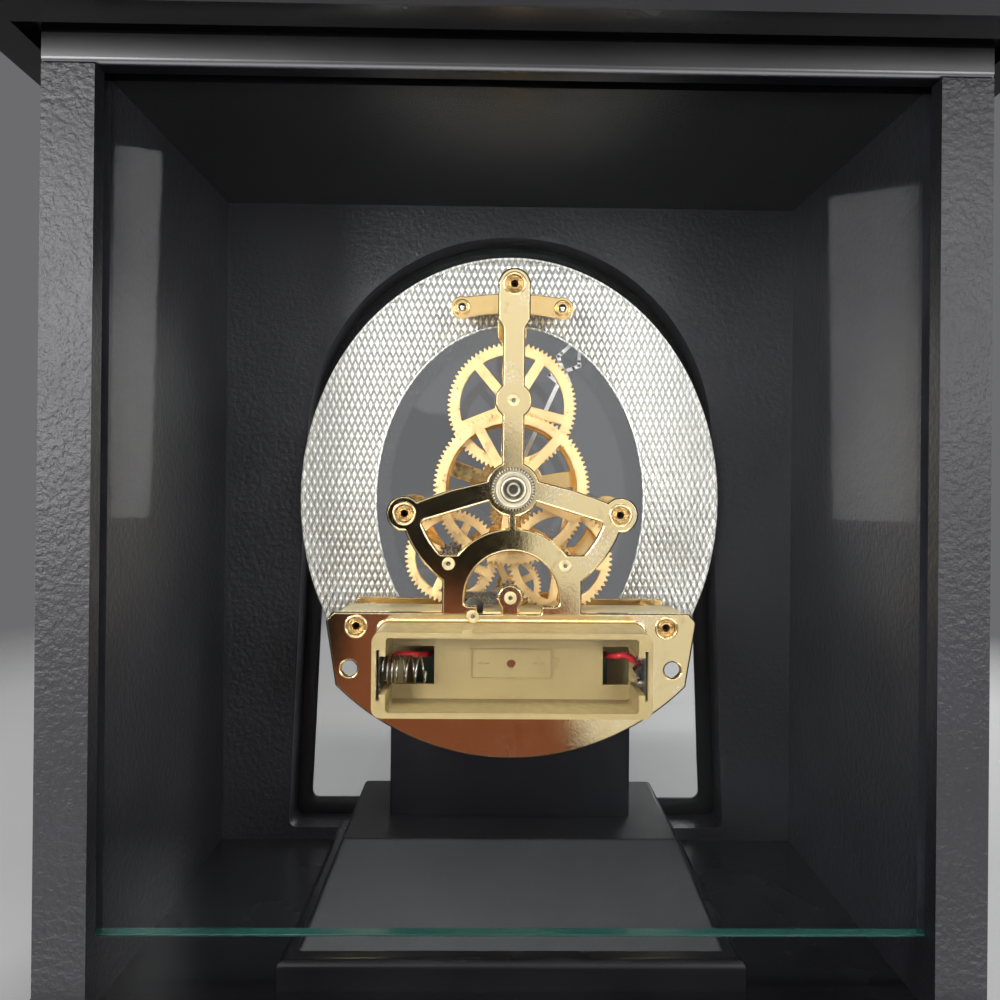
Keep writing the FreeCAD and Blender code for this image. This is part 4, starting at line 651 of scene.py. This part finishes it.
# Rims and screws, in millimetres. Places are measured from the shaft.
BOSSES = [(0, 49.0), (25.75, -6.0), (-25.75, -6.0), (36.9, -32.8), (-36.9, -32.8)]
BAR_ENDS = [(13.4, 48.1), (-13.4, 48.1)]
BOSS_RIM_RADIUS = 2.5
BOSS_RIM_WIDTH = 0.62
BAR_RIM_RADIUS = 1.95
BAR_RIM_WIDTH = 0.6
RIM_HEIGHT = 0.3
RIM_SINK = 0.05
RIM_ARC_STEPS = 8
RIM_TURN_STEPS = 64
SCREW_STEPS = 48
SCREW_SEAT_DEPTH = 0.95 * MM
SCREW_HEAD_HEIGHT = 0.75 * MM
SCREW_BORE = 0.72
SCREW_SHANK = 0.98
SCREW_HEAD = 1.9
SCREW_HEAD_PROFILE = (
    (SCREW_HEAD, 0.12), (1.8, 0.0), (1.62, 0.0), (1.5, 0.32), (1.25, 0.34), (1.15, 0.06),
    (SCREW_SHANK, 0.04), (0.86, 0.3), (SCREW_BORE, 0.7),
)
plate_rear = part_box("back_plate")[1].y
bar_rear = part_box("front_plate")[1].y


def build_rims(places, y, radius, width):
    """Raised rings round holes, each a low rounded band."""
    profile = []
    for k in range(RIM_ARC_STEPS + 1):
        turn = math.pi * k / RIM_ARC_STEPS
        profile.append(((radius - width / 2 * math.cos(turn)) * MM, y + RIM_HEIGHT * MM * math.sin(turn)))
    profile.append(((radius + width / 2) * MM, y - RIM_SINK * MM))
    profile.append(((radius - width / 2) * MM, y - RIM_SINK * MM))

    def build(bm):
        for x, z in places:
            lathe(bm, x * MM, SHAFT_Z + z * MM, profile, RIM_TURN_STEPS)
    return build


def build_screws(bm):
    """Hollow-ended screws in their sinks: a turned collar round a dark bore."""
    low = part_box("plate_screws")[0].y
    seat = plate_rear - SCREW_SEAT_DEPTH
    top = seat + SCREW_HEAD_HEIGHT
    shank = ((SCREW_BORE, low), (SCREW_SHANK, low), (SCREW_SHANK, seat), (SCREW_HEAD, seat))
    profile = [(r * MM, y) for r, y in shank]
    profile += [(r * MM, top - drop * MM) for r, drop in SCREW_HEAD_PROFILE]
    for x, z in BOSSES:
        lathe(bm, x * MM, SHAFT_Z + z * MM, profile, SCREW_STEPS)


screws = piece("sunk_screws", build_screws, LOOKS["dark_brass"])
smooth(screws)
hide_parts("plate_screws")
build_boss_rims = build_rims(BOSSES, plate_rear, BOSS_RIM_RADIUS, BOSS_RIM_WIDTH)
boss_rims = piece("boss_rims", build_boss_rims, LOOKS["polished_gold"])
smooth(boss_rims)
build_bar_rims = build_rims(BAR_ENDS, bar_rear, BAR_RIM_RADIUS, BAR_RIM_WIDTH)
bar_rims = piece("bar_rims", build_bar_rims, LOOKS["shadow_gold"])
smooth(bar_rims)


# Gilt bead round the foot of the battery box
box_low, box_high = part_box("battery_box")
BEAD_RADIUS = 0.45 * MM
BEAD_SIDES = 10
BEAD_CORNER = 2.6 * MM
BEAD_CORNER_STEPS = 8
BOX_LIP = 0.7 * MM


def build_collar(bm):
    half_x = (box_high.x - box_low.x) / 2 + BEAD_RADIUS - BEAD_CORNER
    low_z = box_low.z - BEAD_RADIUS + BEAD_CORNER
    high_z = box_high.z - BOX_LIP + BEAD_RADIUS - BEAD_CORNER
    corners = ((half_x, high_z), (-half_x, high_z), (-half_x, low_z), (half_x, low_z))
    rings = []
    for quarter, (x, z) in enumerate(corners):
        for k in range(BEAD_CORNER_STEPS + 1):
            angle = math.pi / 2 * (quarter + k / BEAD_CORNER_STEPS)
            out = Vector((math.cos(angle), 0, math.sin(angle)))
            middle = Vector((x, plate_rear, z)) + BEAD_CORNER * out
            ring = []
            for i in range(BEAD_SIDES):
                turn = math.tau * i / BEAD_SIDES
                side = out * math.cos(turn) + Vector((0, math.sin(turn), 0))
                ring.append(bm.verts.new(middle + BEAD_RADIUS * side))
            rings.append(ring)
    close_rings(bm, rings)


collar = piece("box_collar", build_collar, LOOKS["polished_gold"])
smooth(collar, 60)


# Polished lower edge of the rear glass, green where one looks along the pane
pane_low, pane_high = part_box("rear_glass")
EDGE_END_INSET = 0.4 * MM
EDGE_SIDE_INSET = 0.15 * MM
EDGE_CHAMFER = 0.15 * MM
EDGE_BOTTOM = 0.02 * MM
EDGE_TOP = 0.35 * MM


def build_glass_edge(bm):
    y0, y1 = pane_low.y + EDGE_SIDE_INSET, pane_high.y - EDGE_SIDE_INSET
    z0, z1 = pane_low.z + EDGE_BOTTOM, pane_low.z + EDGE_TOP
    section = (
        (y0, z1), (y0, z0 + EDGE_CHAMFER), (y0 + EDGE_CHAMFER, z0),
        (y1 - EDGE_CHAMFER, z0), (y1, z0 + EDGE_CHAMFER), (y1, z1),
    )
    ends = (pane_low.x + EDGE_END_INSET, pane_high.x - EDGE_END_INSET)
    prism(bm, *([(x, y, z) for y, z in section] for x in ends))


def glass_edge_look():
    paint = Paint("green_edge", (0.03, 0.17, 0.13), roughness=0.18)
    paint.colour(paint.blend(paint.noise(20 * MM, 3.0), (0.004, 0.03, 0.024), (0.012, 0.06, 0.048)))
    paint.bump(paint.noise(0.8 * MM, 3.0), 0.02 * MM, 0.6)
    return paint.material


piece("glass_edge", build_glass_edge, glass_edge_look(), "rear_pane")


# Bead of sealant round the window glass. The window's outline is in millimetres, from under the feet.
INTERIOR_FLOOR = 26.0
ARCH_RADIUS = 57.1
ARCH_CENTRE = INTERIOR_FLOOR + 113.2
ARCH_FOOT = 61.3
ARCH_SILL = INTERIOR_FLOOR + 3.4
SILL_CORNER = 2.0
SILL_EASE = (0.5, 0.6)
SIDE_START = 2.2
ARC_STEPS = 60
SEAL_OUTER = 0.2
SEAL_INNER = 5.4
SEAL_STEPS = 720
SEAL_SHARES = ((0.0, 0.0), (0.0, 0.72), (0.3, 0.86), (0.62, 0.7), (0.85, 0.42), (0.96, 0.16), (1.0, 0.0))
seal_low, seal_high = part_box("glass_sealant")


def arch_outline(inset):
    """The window's outline, drawn in by an inset: sill, right side, arc and left side."""
    radius = ARCH_RADIUS - inset
    foot = ARCH_FOOT - inset
    sill = ARCH_SILL + inset
    drop = ARCH_CENTRE - sill
    lean = math.acos(radius / math.hypot(foot, drop)) - math.atan2(drop, foot)
    ease_x, ease_z = SILL_EASE
    right = [(foot - SILL_CORNER, sill), (foot - ease_x, sill + ease_z), (foot, sill + SIDE_START)]
    arc = []
    for i in range(ARC_STEPS + 1):
        turn = lean + (math.pi - 2 * lean) * i / ARC_STEPS
        arc.append((radius * math.cos(turn), ARCH_CENTRE + radius * math.sin(turn)))
    left = [(-x, z) for x, z in right]
    return left[:1] + right + arc + left[:0:-1]


def arch_path(inset, count):
    """Evenly spaced points along the window's outline."""
    outline = arch_outline(inset)
    lengths = [math.dist(outline[i], outline[(i + 1) % len(outline)]) for i in range(len(outline))]
    total = sum(lengths)
    points = []
    index, walked = 0, 0.0
    for k in range(count):
        goal = total * k / count
        while walked + lengths[index] < goal:
            walked += lengths[index]
            index += 1
        share = (goal - walked) / lengths[index]
        a, b = outline[index], outline[(index + 1) % len(outline)]
        points.append((a[0] + (b[0] - a[0]) * share, a[1] + (b[1] - a[1]) * share))
    return points


def build_sealant(bm):
    """A bead laid by hand, whose width and height wander along its way."""
    thick = seal_high.y - seal_low.y
    rings = []
    for (outer_x, outer_z), (inner_x, inner_z) in zip(
        arch_path(SEAL_OUTER, SEAL_STEPS), arch_path(SEAL_INNER, SEAL_STEPS)
    ):
        spot = Vector((outer_x, outer_z, 0))
        wander = 0.5 * noise.noise(spot * 0.06) + 0.12 * noise.noise(spot * 0.2)
        lump = 0.06 * noise.noise(spot * 0.15 + Vector((9, 0, 0)))
        reach = min(1.0, 0.84 + 0.16 * wander)
        ring = []
        for share, height in SEAL_SHARES:
            x = outer_x + (inner_x - outer_x) * share * reach
            z = outer_z + (inner_z - outer_z) * share * reach
            y = seal_low.y + thick * min(1.0, max(0.0, height * (1 + lump)))
            ring.append(bm.verts.new((x * MM, y, z * MM)))
        rings.append(ring)
    close_rings(bm, rings)


def sealant_look():
    paint = Paint("black_sealant", (0.008, 0.008, 0.009), roughness=0.22)
    cloud = paint.between(paint.noise(4 * MM, 4.0), 0.4, 0.8)
    paint.colour(paint.blend(cloud, BLACK, (0.010, 0.010, 0.011)))
    paint.gloss(0.2)
    paint.roughness(paint.between(paint.noise(10 * MM, 2.0), 0.3, 0.7, 0.3, 0.42))
    paint.bump(paint.noise(6 * MM, 1.0), 0.03 * MM, 0.5)
    return paint.material


sealant = piece("sealant_bead", build_sealant, sealant_look())
smooth(sealant, 50)
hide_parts("glass_sealant")


# Camera at the photograph's place
PHOTO_PIXELS = 1000
FOCAL_PIXELS = 902.9
CENTRE_PIXEL = (508.3, 477.1)
CAMERA_PLACE = (4.66, 221.12, 127.76)
CAMERA_DEGREES = (0.95, 0.16, 0.54)
SENSOR_WIDTH = 36.0


def turned(a, b, degrees):
    """Two axes turned in their own plane, the first toward the second."""
    angle = math.radians(degrees)
    return a * math.cos(angle) + b * math.sin(angle), b * math.cos(angle) - a * math.sin(angle)


def photo_camera():
    yaw, pitch, roll = CAMERA_DEGREES
    right, up, ahead = Vector((-1, 0, 0)), Vector((0, 0, 1)), Vector((0, -1, 0))
    ahead, right = turned(ahead, right, yaw)
    ahead, up = turned(ahead, up, pitch)
    right, up = turned(right, up, roll)
    data = bpy.data.cameras.new("photo_camera")
    data.sensor_width = SENSOR_WIDTH
    data.sensor_fit = "HORIZONTAL"
    data.lens = FOCAL_PIXELS / PHOTO_PIXELS * data.sensor_width
    data.shift_x = -(CENTRE_PIXEL[0] - PHOTO_PIXELS / 2) / PHOTO_PIXELS
    data.shift_y = (CENTRE_PIXEL[1] - PHOTO_PIXELS / 2) / PHOTO_PIXELS
    data.clip_start = 5 * MM
    data.clip_end = 50
    camera = bpy.data.objects.new("photo_camera", data)
    bpy.context.scene.collection.objects.link(camera)
    facing = Matrix((right, up, -ahead)).transposed()
    camera.matrix_world = Matrix.Translation(Vector(CAMERA_PLACE) * MM) @ facing.to_4x4()
    bpy.context.scene.camera = camera


photo_camera()


# Floor, world and lamps, in metres
FLOOR_RADII = (0.25, 0.6, 1.0, 1.5)
FLOOR_SIDES = 96
FLOOR_SHIFT = (0, 0.22, 0)
FLOOR_FADE = (0.3, 0.52)


def build_floor(bm):
    centre = bm.verts.new((0, 0, 0))
    last = None
    for radius in FLOOR_RADII:
        turns = [math.tau * i / FLOOR_SIDES for i in range(FLOOR_SIDES)]
        ring = [bm.verts.new((radius * math.cos(turn), radius * math.sin(turn), 0)) for turn in turns]
        for i in range(FLOOR_SIDES):
            k = (i + 1) % FLOOR_SIDES
            if last:
                bm.faces.new((last[i], ring[i], ring[k], last[k]))
            else:
                bm.faces.new((centre, ring[i], ring[k]))
        last = ring


def floor_look():
    """Pale paper that fades out round the clock and isn't mirrored in it."""
    paint = Paint("pale_floor", (0.5, 0.5, 0.5), roughness=0.6)
    paint.colour(paint.blend(paint.noise(0.2, 3.0), (0.47, 0.47, 0.47), (0.52, 0.52, 0.515)))
    paint.bump(paint.noise(4 * MM, 3.0), 0.05 * MM, 0.3)
    shifted = paint.add("ShaderNodeVectorMath", operation="ADD")
    paint.tree.links.new(paint.place, shifted.inputs[0])
    shifted.inputs[1].default_value = FLOOR_SHIFT
    length = paint.add("ShaderNodeVectorMath", operation="LENGTH")
    paint.tree.links.new(shifted.outputs[0], length.inputs[0])
    fade = paint.between(length.outputs["Value"], *FLOOR_FADE)
    paint.open_up(paint.math("MAXIMUM", fade, paint.mirrored()))
    return paint.material


floor = dressed("floor", build_floor, floor_look())
floor.visible_glossy = False


class WorldPaint(Paint):
    """A world material; its place is the direction of sight, with parts from -1 to 1."""

    def __init__(self):
        self.material = bpy.data.worlds.new("studio")
        self.material.use_nodes = True
        self.tree = self.material.node_tree
        self.place = self.add("ShaderNodeTexCoord").outputs["Generated"]

    def both(self, *factors):
        """Product of all the factors."""
        product = factors[0]
        for factor in factors[1:]:
            product = self.math("MULTIPLY", product, factor)
        return product


# Colours and edges of what stands behind the camera, as the polished plate mirrors it
BACKDROP = (0.15, 0.15, 0.155)
LENS_GREY = (0.2, 0.2, 0.2)
LENS_RIM = (0.03, 0.025, 0.02)
DARK_COAT = (0.012, 0.011, 0.010)
WARM_SLEEVE = (0.20, 0.075, 0.05)
TABLE_GLOW = (5.0, 5.0, 5.2)
LENS_DROP = 0.007


def studio_world():
    """A pale room, darker where the camera stands, and an even grey backdrop for what is seen directly."""
    paint = WorldPaint()
    x, y, z = paint.split()
    behind = paint.between(y, 0.86, 0.95)
    ragged = paint.between(paint.noise(0.22, 3.0, 0.6), 0.2, 0.8, -0.09, 0.09)

    def wavering(value, amount):
        return paint.math("ADD", value, paint.math("MULTIPLY", ragged, amount))

    lean = paint.math("SUBTRACT", x, paint.math("MULTIPLY", z, 0.35))
    side = paint.between(wavering(lean, 0.7), -0.022, -0.012)
    below_head = paint.between(wavering(z, 1.0), 0.06, 0.072, 1.0, 0.0)
    coat = paint.both(side, below_head, behind)

    low = paint.between(wavering(z, 0.4), -0.118, -0.14)
    corner = paint.both(paint.between(x, 0.15, 0.16), paint.between(z, -0.215, -0.20))
    inside = paint.math("SUBTRACT", 1.0, corner)
    sleeve = paint.both(low, behind, paint.between(x, -0.092, -0.086), inside)

    from_lens = wavering(paint.distance(x, paint.math("ADD", z, LENS_DROP)), 0.12)
    lens = paint.both(paint.between(from_lens, 0.051, 0.054, 1.0, 0.0), behind, 0.4)
    outer = paint.between(from_lens, 0.059, 0.0605, 1.0, 0.0)
    rim = paint.both(paint.between(from_lens, 0.052, 0.054), outer, behind, 0.85)
    table = paint.both(paint.between(z, -0.5, -0.75), paint.between(y, 0.0, 0.2))

    level = paint.between(z, -0.2, 0.3, 0.75, 1.1)
    room = paint.add("ShaderNodeCombineColor")
    for socket in room.inputs:
        paint.tree.links.new(level, socket)
    seen = room.outputs[0]
    for factor, colour in (
        (lens, LENS_GREY), (rim, LENS_RIM), (coat, DARK_COAT), (sleeve, WARM_SLEEVE), (table, TABLE_GLOW),
    ):
        seen = paint.blend(factor, seen, colour)
    mirrored = paint.both(paint.mirrored(), paint.between(y, -0.6, -0.3))
    background = paint.tree.nodes["Background"]
    paint.tree.links.new(paint.blend(mirrored, BACKDROP, seen), background.inputs["Color"])
    background.inputs["Strength"].default_value = 1.0
    bpy.context.scene.world = paint.material


studio_world()


def softbox(name, place, aim, size, power):
    data = bpy.data.lights.new(name, "AREA")
    data.shape = "RECTANGLE"
    data.size, data.size_y = size
    data.energy = power
    lamp = bpy.data.objects.new(name, data)
    bpy.context.scene.collection.objects.link(lamp)
    lamp.location = place
    lamp.rotation_euler = (Vector(aim) - Vector(place)).to_track_quat("-Z", "Y").to_euler()


softbox("overhead_strip", place=(0.05, 0.5, 0.95), aim=(0, 0, 0.1), size=(0.7, 0.12), power=6)
softbox("left_softbox", place=(0.42, 0.7, 0.26), aim=(0.03, 0, 0.14), size=(0.2, 0.35), power=4)
softbox("right_softbox", place=(-0.45, 0.8, 0.26), aim=(0, 0, 0.14), size=(0.2, 0.35), power=2.4)
softbox("front_softbox", place=(-0.5, -0.8, 0.6), aim=(0, 0, 0.12), size=(0.5, 0.5), power=5)

bpy.context.scene.view_settings.view_transform = "Standard"
